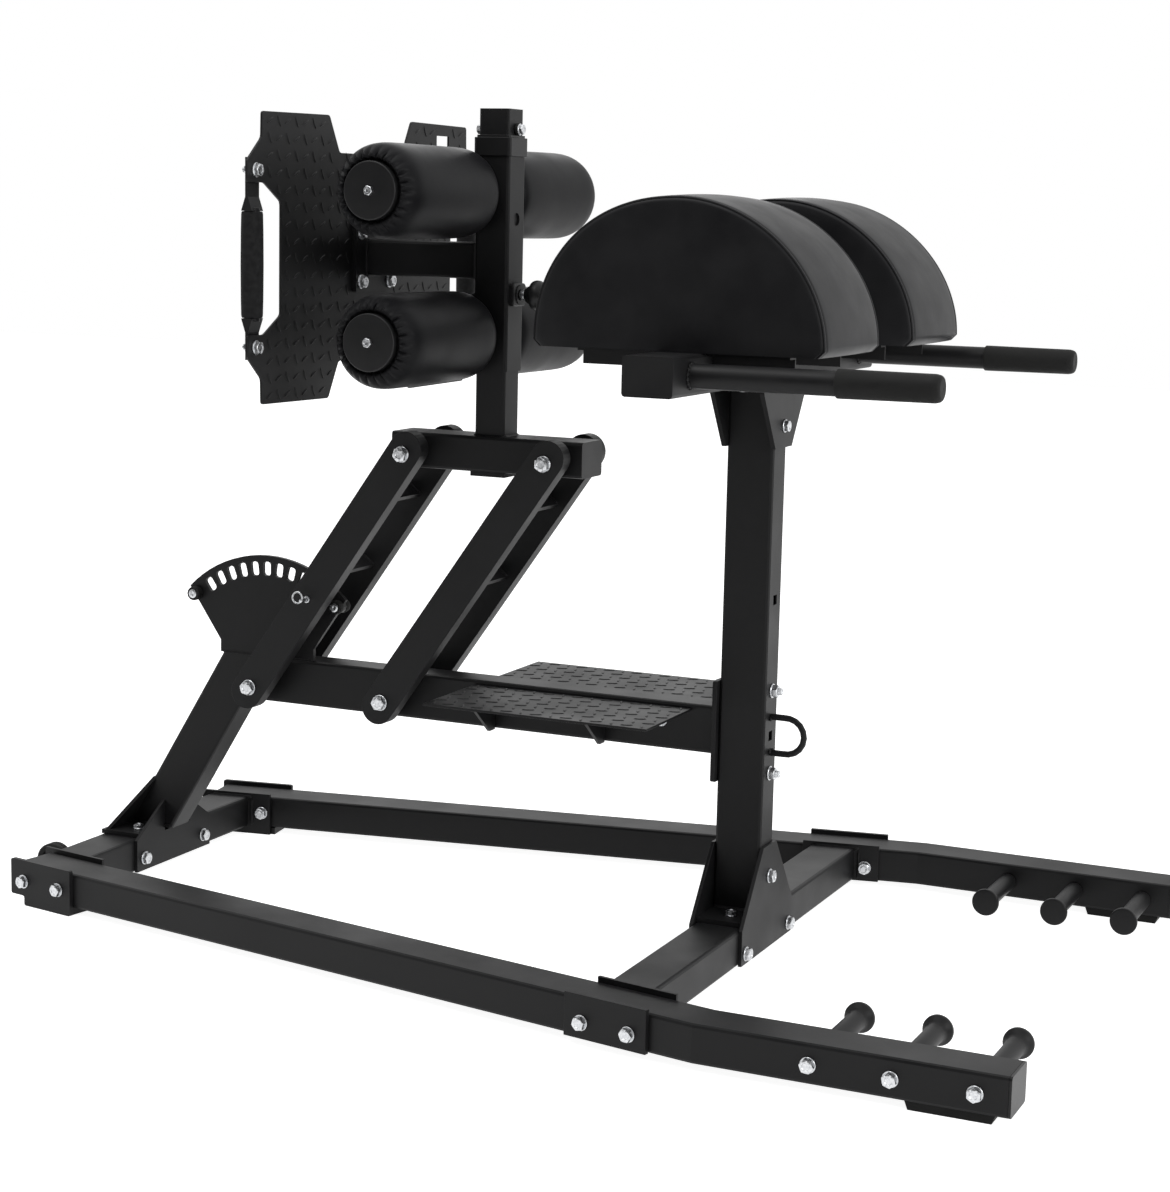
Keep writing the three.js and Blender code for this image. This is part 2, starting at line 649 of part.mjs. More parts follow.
function padRing(across, inset) {
  const moon = Array.from({ length: padRoundSteps + 1 }, (_, i) => {
    const angle = Math.PI * i / padRoundSteps;
    const power = i * 2 < padRoundSteps ? padFrontPower : padRearPower;
    const forward = Math.sign(Math.cos(angle)) * Math.abs(Math.cos(angle)) ** (2 / power);
    const up = Math.max(Math.sin(angle), 0) ** (2 / power);
    return [forward * (padHalf - inset), padLowerEdge + up * (padRise - padLowerEdge - inset)];
  });
  const flat = padHalf - inset - padLowerEdge;
  const base = Array.from({ length: padBaseSteps + 1 }, (_, i) => [flat * (2 * i / padBaseSteps - 1), 0]);
  return [...moon, ...base].map(([x, z]) => [x, across, z]);
}

function padForm() {
  const side = [
    [padHalfWide + padSidePuff, padHalf / 2], [padHalfWide, padRimRound],
    [padHalfWide - padRimRound / 4, padRimRound / 3], [padHalfWide - padRimRound, 0],
    [padHalfWide / 2, -padCrown * 3 / 4],
  ];
  const stations = [
    ...side.map(([across, inset]) => [-across, inset]),
    [0, -padCrown],
    ...side.slice().reverse(),
  ];
  const rings = stations.map(([across, inset]) => padRing(across, inset));
  const count = rings[0].length;
  const points = rings.flat(2);
  const faces = [];
  for (let ring = 0; ring + 1 < rings.length; ring += 1) {
    for (let i = 0; i < count; i += 1) {
      const here = ring * count + i;
      const next = ring * count + (i + 1) % count;
      faces.push(here, next + count, next, here, here + count, next + count);
    }
  }
  for (const [ring, flipped] of [[0, false], [rings.length - 1, true]]) {
    const flat = rings[ring].map(([x, , z]) => new THREE.Vector2(x, z));
    for (const face of THREE.ShapeUtils.triangulateShape(flat, [])) {
      const turned = flipped ? face.reverse() : face;
      faces.push(...turned.map((i) => ring * count + i));
    }
  }
  const geometry = new THREE.BufferGeometry();
  geometry.setAttribute('position', new THREE.Float32BufferAttribute(points, 3));
  geometry.setIndex(faces);
  return geometry.translate(padMiddleX, -padMiddleY, crossbarTop + fit);
}

addPair('thigh_pad', padForm(), vinyl);

// Links: two arms tied by two spacer plates, upright here and leaned by their group. Each arm runs
// on past its two bolts to round ends. Bosses fill the room beside the beam and the carriage.
const armGap = 16.4;
const armInnerY = tubeWide / 2 + running + armGap;
const armThick = 28;
const armHalfWide = 30;
const armBeyondBolt = 11;
const bossRadius = 14;
const spacerHeights = [270, 432];
const spacerHalfDeep = 16;
const spacerThick = 8;
const armOuterY = armInnerY + armThick;
const armEndSteps = 14;
const beamSide = tubeNarrow / 2 + running;
const carriageSide = tubeWide / 2 + running;
const upperPivotDrop = 34;
const lockPinRadius = 6;
const lockPinBore = lockPinRadius + running;
const guideRadius = 12;
const guideGap = 13;
const guideInnerY = sectorY - guideGap;

function link(extras = [], bores = []) {
  const arm = [
    ...arc(0, -armBeyondBolt, armHalfWide, -Math.PI, 0, armEndSteps),
    ...arc(0, linkLength + armBeyondBolt, armHalfWide, 0, Math.PI, armEndSteps),
  ];
  const sides = [-1, 1].flatMap((way) => {
    const across = (near, far) => [way * near, way * far].sort((a, b) => a - b);
    return [
      drawn('y', ...across(armInnerY, armOuterY), arm),
      rod('y', ...across(beamSide, armInnerY + armThick / 2), 0, 0, bossRadius),
      rod('y', ...across(carriageSide, armInnerY + armThick / 2), 0, linkLength, bossRadius),
    ];
  });
  const spacerHalfY = armInnerY + armThick / 4;
  const spacers = spacerHeights.map((z) => block(-spacerHalfDeep, spacerHalfDeep,
    -spacerHalfY, spacerHalfY, z - spacerThick / 2, z + spacerThick / 2));
  const holes = [0, linkLength].map((z) =>
    rod('y', -armOuterY - overrun, armOuterY + overrun, 0, z, pivotHole));
  return cut(joined(...sides, ...spacers, ...extras), ...holes, ...bores);
}

const lockGuide = rod('y', -armInnerY - armThick / 4, guideInnerY, 0, slotRadius, guideRadius);
const lockBore = rod('y', -armOuterY - overrun, guideInnerY + overrun, 0, slotRadius, lockPinBore);
const rearLinkFrame = group(pivotX, pivotZ, linkLean);
add('rear_link', link([lockGuide], [lockBore]), powderCoat, rearLinkFrame);
add('front_link', link(), powderCoat, group(pivotX + pivotPitch, pivotZ, linkLean));

// Lock pin: slides in the right arm of the rear link, and is drawn here clear of the sector plate
const lockPinTip = sectorY - sectorThick / 2 - running;
const lockPinDimple = 3.5;
const lockPinDimpleDeep = 6;
const lockPin = cut(
  rod('y', -armOuterY - running, lockPinTip, 0, slotRadius, lockPinRadius),
  rod('y', -armOuterY - overrun, lockPinDimpleDeep - armOuterY, 0, slotRadius, lockPinDimple),
);
add('lock_pin', lockPin, zinc, rearLinkFrame);

// Pivot bolts: a shank through both arms and what is between them, a washer and head on the right
// side, and a washer and nut on the left
const washerThick = 2.5;
const headHigh = 8;
const headAcross = 19;
const headRadius = headAcross / Math.sqrt(3);

function pivotBolt() {
  const seat = armOuterY + fit;
  const ends = [-1, 1].flatMap((way) => {
    const washer = [way * seat, way * (seat + washerThick)].sort((a, b) => a - b);
    const head = [way * (seat + washerThick / 2), way * (seat + washerThick + headHigh)]
      .sort((a, b) => a - b);
    return [
      rod('y', washer[0], washer[1], 0, 0, washerRadius),
      rod('y', head[0], head[1], 0, 0, headRadius, 6),
    ];
  });
  return joined(rod('y', -seat - washerThick, seat + washerThick, 0, 0, boltRadius), ...ends);
}

const boltPlaces = {
  rear_lower_pivot_bolt: [pivotX, pivotZ],
  front_lower_pivot_bolt: [pivotX + pivotPitch, pivotZ],
  rear_upper_pivot_bolt: [pivotX + swing.x, carriageZ],
  front_upper_pivot_bolt: [pivotX + pivotPitch + swing.x, carriageZ],
};
for (const [name, [x, z]] of Object.entries(boltPlaces)) {
  add(name, pivotBolt(), zinc, group(x, z));
}

// Carriage: the tube that the links carry level, with the roller post standing through it.
// The post has the pin holes that set the sleeve's height, and a cap on its top.
const carriageBeyondPivot = 44;
const carriageFrontBeyond = 49;
const postWall = 3;
const postCorner = 4;
const postFootDrop = 8;
const postFootThick = 6;
const postFootWide = 64;
const capRise = 4;
const pinHoleRadius = 7;
const heightPinRise = 128;
const heightPinZ = sleeveBottom + heightPinRise;
const pinHoleCount = 5;
const stopBoltDrop = 33;
const stopBoltRadius = 5;
const postAboveSleeve = 77;
const rollerPostTop = sleeveTop + postAboveSleeve;
const carriageTubeZ = carriageZ + tubeNarrow / 2 - upperPivotDrop + postFootDrop;
const postHalf = rollerPostWide / 2;
const rollerPostFront = rollerPostX + postHalf;

function carriage() {
  const rearX = pivotX + swing.x - carriageBeyondPivot;
  const frontX = pivotX + pivotPitch + swing.x + carriageFrontBeyond;
  const tube = boxTube('x', rearX, frontX, 0, carriageTubeZ, tubeWide, tubeNarrow);
  const endOutline = roundedBox(0, carriageTubeZ, tubeWide, tubeNarrow, tubeCorner);
  const ends = [
    drawn('x', rearX, rearX + tubeWall, endOutline), drawn('x', frontX - tubeWall, frontX, endOutline),
  ];
  const footBottom = carriageTubeZ - tubeNarrow / 2 - postFootDrop;
  const post = drawn('z', footBottom, rollerPostTop,
    roundedBox(rollerPostX, 0, rollerPostWide, rollerPostWide, postCorner));
  const bore = drawn('z', footBottom - overrun, rollerPostTop - capRise,
    roundedBox(rollerPostX, 0, rollerPostWide - 2 * postWall, rollerPostWide - 2 * postWall,
      postCorner - postWall / 2));
  const foot = block(rollerPostX - postFootWide / 2, rollerPostX + postFootWide / 2,
    -postFootWide / 2, postFootWide / 2, footBottom, footBottom + postFootThick + postFootDrop);
  const pivots = [pivotX + swing.x, pivotX + pivotPitch + swing.x].map((x) =>
    rod('y', -tubeWide, tubeWide, x, carriageZ, pivotHole));
  const pinHoles = Array.from({ length: pinHoleCount }, (_, i) =>
    rod('x', rollerPostX, rollerPostX + rollerPostWide,
      0, heightPinZ - i * sleeveTravel / (pinHoleCount - 1), pinHoleRadius));
  const stopHole = rod('x', rollerPostX - rollerPostWide, rollerPostX + rollerPostWide,
    0, rollerPostTop - stopBoltDrop, stopBoltRadius + fit);
  return cut(joined(tube, ...ends, post, foot), bore, ...pivots, ...pinHoles, stopHole);
}

add('carriage', carriage(), powderCoat);

const stopBoltSeat = postHalf + fit;
const stopNutRadius = 9;
const stopNutHigh = 8;
const stopBoltOverhang = 4;
const travelStop = joined(
  rod('x', -stopBoltSeat - stopNutHigh, stopBoltSeat + stopNutHigh + stopBoltOverhang, 0, 0, stopBoltRadius),
  rod('x', -stopBoltSeat - stopNutHigh, -stopBoltSeat, 0, 0, stopNutRadius, 6),
  rod('x', stopBoltSeat, stopBoltSeat + stopNutHigh, 0, 0, stopNutRadius, 6),
);
add('travel_stop_bolt', travelStop, zinc, group(rollerPostX, rollerPostTop - stopBoltDrop));

// Sleeve: slides on the roller post and carries the rollers and, by an arm behind it, the foot plate
const sleeveWide = 62;
const sleeveHalf = sleeveWide / 2;
const sleeveRear = rollerPostX - sleeveHalf;
const sleeveFront = rollerPostX + sleeveHalf;
const axleRadius = 12.5;
const axleBore = axleRadius + fit;
const axleBossRadius = 19;
const axleBossHalfY = 32;
const webHalf = 12;
const armHalf = 30;
const flangeThick = 8;
const flangeHalfY = 65;
const flangeHalfZ = 58;
const housingRadius = 16;
const housingLong = 10;
const neckRadius = 9;
const pinRadius = 6;
const spareHoleRadius = 11;
const spareHoleRise = 252;
const spareHoleZ = sleeveBottom + spareHoleRise;
const flangeRear = footPlateX + fit;

function sleeve() {
  const tube = boxTube('z', sleeveBottom, sleeveTop, rollerPostX, 0, sleeveWide, sleeveWide);
  const arm = boxTube('x', flangeRear + flangeThick / 2, sleeveRear + tubeWall / 2,
    0, footPlateHeight, 2 * armHalf, 2 * armHalf);
  const flange = drawn('x', flangeRear, flangeRear + flangeThick,
    roundedBox(0, footPlateHeight, 2 * flangeHalfY, 2 * flangeHalfZ, tubeCorner));
  const bosses = rollerAxisHeights.flatMap((z) => [
    rod('y', -axleBossHalfY, axleBossHalfY, rollerAxisX, z, axleBossRadius),
    block(rollerAxisX, sleeveRear + tubeWall / 2, -axleBossHalfY + tubeWall, axleBossHalfY - tubeWall,
      z - webHalf, z + webHalf),
  ]);
  const housing = rod('x', sleeveFront - tubeWall / 2, sleeveFront + housingLong,
    0, heightPinZ, housingRadius);
  const bores = rollerAxisHeights.map((z) =>
    rod('y', -tubeWide, tubeWide, rollerAxisX, z, axleBore));
  const cuts = [
    rod('x', flangeRear - overrun, flangeRear + flangeThick + overrun, 0, footPlateHeight, drainRadius),
    rod('x', rollerPostFront, sleeveFront + overrun, 0, spareHoleZ, spareHoleRadius),
    rod('x', rollerPostFront, sleeveFront + overrun, 0, heightPinZ, pinRadius + running),
    rod('x', sleeveFront, sleeveFront + housingLong + overrun, 0, heightPinZ, neckRadius + running),
  ];
  return cut(joined(tube, arm, flange, ...bosses, housing), ...bores, ...cuts);
}

add('sleeve', sleeve(), powderCoat);

// Guide: the collar on the sleeve's top that rides on the roller post
const guideWide = 68;
const guideHigh = 30;
const guideLip = 4;
const guideBore = rollerPostWide + 2 * running;
const guideBoreOutline = roundedBox(rollerPostX, 0, guideBore, guideBore, postCorner);
add('sleeve_guide', joined(
  drawn('z', sleeveTop + fit, sleeveTop + fit + guideHigh,
    roundedBox(rollerPostX, 0, guideWide, guideWide, tubeCorner), [guideBoreOutline]),
  drawn('z', sleeveTop + fit + guideHigh - guideLip, sleeveTop + fit + guideHigh + guideLip,
    roundedBox(rollerPostX, 0, sleeveWide, sleeveWide, tubeCorner), [guideBoreOutline]),
), plastic);

// Height pin: a pin with a bright neck and a round knob, drawn here just clear of the roller post
const knobRadius = 25;
const knobLong = 35;
const knobEdge = 6;
const pinStroke = 9;
const knobRear = housingLong + pinStroke + fit;
const pinTip = postHalf - sleeveHalf + fit;
const pinProfile = [
  [0, pinTip], [pinRadius, pinTip], [pinRadius, housingLong - fit], [neckRadius, housingLong - fit],
  [neckRadius, knobRear], [knobRadius - knobEdge, knobRear], [knobRadius, knobRear + knobEdge],
  [knobRadius, knobRear + knobLong - knobEdge], [knobRadius - knobEdge, knobRear + knobLong],
  [0, knobRear + knobLong],
].map(([r, along]) => new THREE.Vector2(r, along));
const heightPin = new THREE.LatheGeometry(pinProfile, roundSides).rotateZ(-Math.PI / 2);
add('height_pin', heightPin, plastic, group(sleeveFront, heightPinZ));

// Rollers turn on two axles; each has a rounded inner end, and an outer shoulder that is drawn in
// with pleats to a flat end disc. The shoulder's shares are of its length and of its drop in radius.
const rollerInnerY = 42;
const rollerLong = 316;
const rollerRadius = 73;
const rollerRimRadius = 75;
const rollerEndRound = 9;
const rollerBore = axleRadius + running;
const endDiscRadius = 48;
const endDiscStep = 4;
const shoulderLong = 50;
const shoulderShares = [
  [1, 0], [0.76, 0.055], [0.56, 0.185], [0.4, 0.33], [0.24, 0.48], [0.08, 0.7], [0, 0.9],
];
const pleats = 20;
const pleatDeep = 1.8;
const pleatRadius = 64;
const axleEndGap = 3;
const axleHalf = rollerInnerY + rollerLong - axleEndGap;

function rollerForm() {
  const drop = rollerRimRadius - endDiscRadius;
  const profile = [
    [rollerBore, 0], [rollerRadius - rollerEndRound, 0],
    [rollerRadius - rollerEndRound / 3, rollerEndRound / 3], [rollerRadius, rollerEndRound],
    [rollerRadius, rollerLong - shoulderLong * 2],
    ...shoulderShares.map(([back, drawnIn]) =>
      [rollerRimRadius - drop * drawnIn, rollerLong - shoulderLong * back]),
    [endDiscRadius, rollerLong - endDiscStep], [rollerBore, rollerLong - endDiscStep], [rollerBore, 0],
  ].map(([r, y]) => new THREE.Vector2(r, y));
  const geometry = new THREE.LatheGeometry(profile, pleats * 2);
  const points = geometry.attributes.position;
  for (let i = 0; i < points.count; i += 1) {
    const radius = Math.hypot(points.getX(i), points.getZ(i));
    const angle = Math.atan2(points.getX(i), points.getZ(i));
    const gathered = points.getY(i) > rollerLong - shoulderLong / 2 && radius < pleatRadius
      && radius > endDiscRadius + running;
    const scale = gathered ? 1 + pleatDeep / radius * Math.cos(pleats * angle) : 1;
    points.setX(i, points.getX(i) * scale);
    points.setZ(i, points.getZ(i) * scale);
  }
  return geometry.rotateX(Math.PI).translate(0, -rollerInnerY, 0);
}

for (const [index, level] of ['upper', 'lower'].entries()) {
  const frame = group(rollerAxisX, rollerAxisHeights[index]);
  add(`${level}_roller_axle`, rod('y', -axleHalf, axleHalf, 0, 0, axleRadius), zinc, frame);
  addPair(`${level}_roller`, rollerForm(), vinyl, frame);
}

// Foot plate: a tread plate with a wing on each side, cut away for the hands at its outer edges.
// The outline's shares are of its half width and half height, down one side from the top notch.
const footHalfWidth = 393;
const footHalfHeight = 233;
const footPlateThick = 4;
const footCorner = 5;
const notchShares = [0.272, 0.74];
const wingShares = [[0.358, 1], [0.888, 0.99], [0.891, 0.815]];
const earShares = [0.657, 0.513];
const windowShares = [[0.873, 0.513], [0.744, 0.386]];
const wingSlotWide = 46;
const wingSlotY = 258;
const wingSlotTop = 212;
const earY = footHalfWidth * (1 + windowShares[0][0]) / 2;
const earRise = footHalfHeight * (earShares[0] + earShares[1]) / 2;

function footPlate() {
  const upper = [notchShares, ...wingShares, [1, earShares[0]], [1, earShares[1]], ...windowShares];
  const lower = upper.map(([y, z]) => [y, -z]).reverse();
  const half = [...upper, ...lower].map(([y, z]) => [y * footHalfWidth, z * footHalfHeight]);
  const outline = bothSides(half.reverse()).map(([y, z]) => [y, footPlateHeight + z]);
  const slotTop = footPlateHeight + wingSlotTop;
  const wingSlot = block(footPlateX - tubeWide, footPlateX + tubeWide,
    wingSlotY - wingSlotWide / 2, wingSlotY + wingSlotWide / 2, slotTop - wingSlotWide, slotTop);
  return cut(drawn('x', footPlateX - footPlateThick, footPlateX, softened(outline, footCorner)), wingSlot);
}

add('foot_plate', footPlate(), powderCoat);

// Side handles: a round tube beside each wing, its flattened ends behind the ears, with a foam grip
const sideTubeRadius = 12.5;
const sideTabHigh = 44;
const sideTabThick = 5;
const sideTabHalfY = 17;
const sideGripRadius = 17.5;
const sideGripLong = 167;
const sideGripLift = -9;
const sideGripTaper = 10;
const tabFront = footPlateX - footPlateThick - fit;
const sideTubeX = tabFront - sideTabThick / 2;
const sideRoundBeyond = 5.5;
const sideFlatLong = 17;
const sideGripBottom = sideGripLift - sideGripLong / 2;

function sideHandle() {
  const ends = [-1, 1].map((way) => sideGripLift + way * (sideGripLong / 2 + sideRoundBeyond));
  const flats = ends.flatMap((end, i) => {
    const way = i ? 1 : -1;
    const flat = end + way * sideFlatLong;
    const deep = sideTubeRadius - sideTabThick / 2;
    const taper = [
      [sideTubeX - deep, end - way * sideTabThick], [sideTubeX + deep, end - way * sideTabThick],
      [tabFront, flat], [tabFront - sideTabThick, flat],
    ];
    const [low, high] = [flat - way * sideTabThick, way * (earRise + sideTabHigh / 2)].sort((a, b) => a - b);
    return [
      drawn('y', -earY - sideTabHalfY, -earY + sideTabHalfY, way > 0 ? taper : taper.reverse()),
      block(tabFront - sideTabThick, tabFront, -earY - sideTabHalfY, -earY + sideTabHalfY, low, high),
    ];
  });
  return joined(rod('z', ends[0], ends[1], sideTubeX, -earY, sideTubeRadius), ...flats);
}

const sideGripProfile = [
  [sideTubeRadius + fit, sideGripBottom], [sideGripRadius - sideGripTaper / 4, sideGripBottom],
  [sideGripRadius, sideGripBottom + sideGripTaper],
  [sideGripRadius, sideGripBottom + sideGripLong - sideGripTaper],
  [sideGripRadius - sideGripTaper / 4, sideGripBottom + sideGripLong],
  [sideTubeRadius + fit, sideGripBottom + sideGripLong], [sideTubeRadius + fit, sideGripBottom],
].map(([r, along]) => new THREE.Vector2(r, along));
const sideGrip = new THREE.LatheGeometry(sideGripProfile, roundSides).rotateX(Math.PI / 2);
const footFrame = group(0, footPlateHeight);
addPair('side_handle', sideHandle(), powderCoat, footFrame);
addPair('side_grip', sideGrip.translate(sideTubeX, -earY, 0), foam, footFrame);

machine.position.x = -(railFrontX + fit + capThick + wheelX - wheelRadius) / 2;

export default machine;
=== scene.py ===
import math

import bmesh
import bpy
import numpy as np
from mathutils import Matrix, Vector, noise


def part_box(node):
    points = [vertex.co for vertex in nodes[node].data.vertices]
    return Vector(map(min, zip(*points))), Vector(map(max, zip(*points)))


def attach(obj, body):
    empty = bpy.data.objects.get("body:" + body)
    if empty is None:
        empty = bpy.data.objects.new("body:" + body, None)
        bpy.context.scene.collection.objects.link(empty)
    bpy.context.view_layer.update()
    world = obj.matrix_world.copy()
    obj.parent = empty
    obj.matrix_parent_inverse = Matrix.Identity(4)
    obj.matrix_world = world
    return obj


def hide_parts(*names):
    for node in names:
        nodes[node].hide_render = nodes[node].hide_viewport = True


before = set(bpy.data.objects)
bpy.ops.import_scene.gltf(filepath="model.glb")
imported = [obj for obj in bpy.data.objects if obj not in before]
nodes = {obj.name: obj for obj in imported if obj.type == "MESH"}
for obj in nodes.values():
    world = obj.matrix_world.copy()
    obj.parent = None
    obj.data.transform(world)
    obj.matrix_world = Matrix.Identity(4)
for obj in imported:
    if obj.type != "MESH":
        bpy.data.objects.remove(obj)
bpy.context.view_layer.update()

scene = bpy.context.scene

# The camera stands low in front of the machine's right side, tilted a little, as the picture
# was taken. All sizes are in metres: X runs forward to the hand grips, Y to the left, Z up.
camera_place = Vector((1.71405, -3.7066, 1.2209))
camera_yaw, camera_pitch, camera_roll = (math.radians(a) for a in (24.34, -9.03, 1.27))
picture_height_px, focal_px, sensor_mm = 1192, 2454.95, 36
forward = Vector((-math.sin(camera_yaw) * math.cos(camera_pitch),
                  math.cos(camera_yaw) * math.cos(camera_pitch), math.sin(camera_pitch)))
level = Vector((math.cos(camera_yaw), math.sin(camera_yaw), 0))
upright = level.cross(forward)
camera_right = math.cos(camera_roll) * level + math.sin(camera_roll) * upright
camera_up = math.cos(camera_roll) * upright - math.sin(camera_roll) * level
camera = bpy.data.objects.new("camera", bpy.data.cameras.new("camera"))
scene.collection.objects.link(camera)
camera.matrix_world = Matrix((camera_right, camera_up, -forward)).transposed().to_4x4()
camera.location = camera_place
camera.data.sensor_fit = "AUTO"
camera.data.sensor_width = sensor_mm
camera.data.lens = focal_px / picture_height_px * sensor_mm
camera.data.clip_end = 50
scene.camera = camera


# Base: two box-tube rails that toe in towards the back, and two crossmembers between them with
# welded end plates. Everything is mild steel under one coat of fine-textured black powder.

def finish_start(name, roughness, metallic=0.0, specular=0.5):
    """A new finish: its material, node tree and shader, with the even values on the shader."""
    material = bpy.data.materials.new(name)
    material.use_nodes = True
    tree = material.node_tree
    shader = tree.nodes["Principled BSDF"]
    shader.inputs["Roughness"].default_value = roughness
    shader.inputs["Metallic"].default_value = metallic
    shader.inputs["Specular IOR Level"].default_value = specular
    return material, tree, shader


def speckle(tree, size, detail=2.0, roughness=0.5, stretch=(1, 1, 1)):
    """Noise whose blotches are about that many metres across, in the piece's own space."""
    place = tree.nodes.new("ShaderNodeTexCoord")
    turn = tree.nodes.new("ShaderNodeMapping")
    turn.inputs["Scale"].default_value = stretch
    cloud = tree.nodes.new("ShaderNodeTexNoise")
    cloud.inputs["Scale"].default_value = 1 / size
    cloud.inputs["Detail"].default_value = detail
    cloud.inputs["Roughness"].default_value = roughness
    tree.links.new(place.outputs["Object"], turn.inputs["Vector"])
    tree.links.new(turn.outputs["Vector"], cloud.inputs["Vector"])
    return cloud.outputs["Fac"]


def between(tree, source, low, high, start=0.3, end=0.7):
    """Spreads a noise value over the range from low to high."""
    spread = tree.nodes.new("ShaderNodeMapRange")
    spread.inputs["From Min"].default_value = start
    spread.inputs["From Max"].default_value = end
    spread.inputs["To Min"].default_value = low
    spread.inputs["To Max"].default_value = high
    tree.links.new(source, spread.inputs["Value"])
    return spread.outputs["Result"]


def shades(tree, source, dark, light, start=0.35, end=0.65):
    """A colour that goes from dark to light with a noise value."""
    ramp = tree.nodes.new("ShaderNodeValToRGB")
    ramp.color_ramp.elements[0].position = start
    ramp.color_ramp.elements[0].color = (*dark, 1)
    ramp.color_ramp.elements[1].position = end
    ramp.color_ramp.elements[1].color = (*light, 1)
    tree.links.new(source, ramp.inputs["Fac"])
    return ramp.outputs["Color"]


def relief(tree, source, height, strength=1.0, below=None):
    """A bump of that height in metres, over another bump if one is given."""
    bump = tree.nodes.new("ShaderNodeBump")
    bump.inputs["Distance"].default_value = height
    bump.inputs["Strength"].default_value = strength
    tree.links.new(source, bump.inputs["Height"])
    if below:
        tree.links.new(below, bump.inputs["Normal"])
    return bump.outputs["Normal"]


def powder_coat_finish():
    material, tree, shader = finish_start("black_powder_coat", 0.5, specular=0.2)
    grain = speckle(tree, 0.0016, detail=3)
    cloud = speckle(tree, 0.12, detail=4)
    colour = shades(tree, cloud, (0.0075, 0.0075, 0.008), (0.0125, 0.0125, 0.013))
    tree.links.new(colour, shader.inputs["Base Color"])
    tree.links.new(between(tree, cloud, 0.42, 0.54), shader.inputs["Roughness"])
    tree.links.new(relief(tree, grain, 0.00012, 0.5), shader.inputs["Normal"])
    return material


powder_coat = powder_coat_finish()
weld_reach = 0.00002
edge_round = 0.0006


def coated(finish, *names):
    """Gives CAD pieces their finish and a small round on every sharp edge."""
    for name in names:
        node = nodes[name]
        node.data.materials.clear()
        node.data.materials.append(finish)
        weld = node.modifiers.new("weld", "WELD")
        weld.merge_threshold = weld_reach
        bevel = node.modifiers.new("bevel", "BEVEL")
        bevel.width = edge_round
        bevel.segments = 2
        bevel.angle_limit = math.radians(40)
        bevel.harden_normals = True


def piece(name, form, finish, body, crease=35):
    """Makes a form into a named piece that rides on a body, smooth but for its sharp edges."""
    mesh = bpy.data.meshes.new(name)
    bmesh.ops.recalc_face_normals(form, faces=form.faces)
    form.to_mesh(mesh)
    form.free()
    mesh.materials.append(finish)
    mesh.shade_smooth()
    mesh.set_sharp_from_angle(angle=math.radians(crease))
    made = bpy.data.objects.new(name, mesh)
    scene.collection.objects.link(made)
    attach(made, body)
    return made


def ring_join(form, rings, closed_along=False):
    """Skins a row of rings of points, each a closed loop or a single point at an end."""
    rows = [[form.verts.new(p) for p in ring] for ring in rings]
    pairs = list(zip(rows, rows[1:])) + ([(rows[-1], rows[0])] if closed_along else [])
    for near, far in pairs:
        count = max(len(near), len(far))
        for i in range(count):
            j = (i + 1) % count
            corners = [near[i % len(near)], near[j % len(near)], far[j % len(far)], far[i % len(far)]]
            kept = [c for k, c in enumerate(corners) if c not in corners[:k]]
            if len(kept) > 2:
                form.faces.new(kept)
    return rows


def facing(place, axis, turn=0.0):
    """A matrix at a place whose Z points along axis, turned about it."""
    way = Vector(axis).to_track_quat("Z", "Y").to_matrix().to_4x4()
    return Matrix.Translation(place) @ way @ Matrix.Rotation(turn, 4, "Z")


bead_radius, bead_ripple, bead_wander, bead_step, bead_sides = 0.0026, 0.0006, 0.0004, 0.0022, 8


def weld_bead(form, start, end, radius=bead_radius):
    """A rippled weld bead from one point to another, half sunk where two faces meet."""
    start, end = Vector(start), Vector(end)
    along = end - start
    count = max(int(along.length / bead_step), 4)
    frame_here = facing(start, along)
    rings = []
    for i in range(count + 1):
        share = i / count
        taper = min(1, 6 * min(share, 1 - share) * count / 12 + 0.35)
        wander = noise.noise(start * 90 + Vector((i * 0.37, 0, 0)))
        ripple = bead_ripple * abs(math.sin(i * 1.3)) + bead_wander * wander
        r = (radius + ripple) * taper
        rings.append([frame_here @ Vector((r * math.cos(a), r * math.sin(a), share * along.length))
                      for a in np.linspace(0, 2 * math.pi, bead_sides, endpoint=False)])
    first = frame_here @ Vector((0, 0, 0))
    ring_join(form, [[first]] + rings + [[Vector(end)]])


post_low, post_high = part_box("main_post")
post_x = (post_low.x + post_high.x) / 2
tube_half = 0.040
tube_narrow_half = 0.030
floor_gap = 0.013
rail_top = 0.073
rail_centre_y = 0.538
bend_x = post_x + 0.1485
rail_toe = math.radians(10.15)
end_plate_in = 0.0463
rear_cross_x = post_x - 1.166
weld_end = 0.004


def rail_point(x, out, z, side):
    """A point by the toed part of a rail: x is measured on its centre line, out is away from it
    (positive outward), side is -1 for the right rail and 1 for the left."""
    along = (x - bend_x) / math.cos(rail_toe)
    here_x = bend_x + along * math.cos(rail_toe) - out * math.sin(rail_toe)
    here_y = rail_centre_y + along * math.sin(rail_toe) + out * math.cos(rail_toe)
    return Vector((here_x, side * here_y, z))


coated(powder_coat, "right_base_rail", "left_base_rail", "front_crossmember", "rear_crossmember")
for side, hand in ((-1, "right"), (1, "left")):
    beads = bmesh.new()
    for x in (post_x, rear_cross_x):
        for way in (-1, 1):
            low = rail_point(x + way * tube_half, -end_plate_in, floor_gap + weld_end, side)
            high = rail_point(x + way * tube_half, -end_plate_in, rail_top - weld_end, side)
            weld_bead(beads, low, high)
        weld_bead(beads, rail_point(x - tube_half, -end_plate_in, rail_top, side),
                  rail_point(x + tube_half, -end_plate_in, rail_top, side))
    piece(f"{hand}_crossmember_welds", beads, powder_coat, "frame")


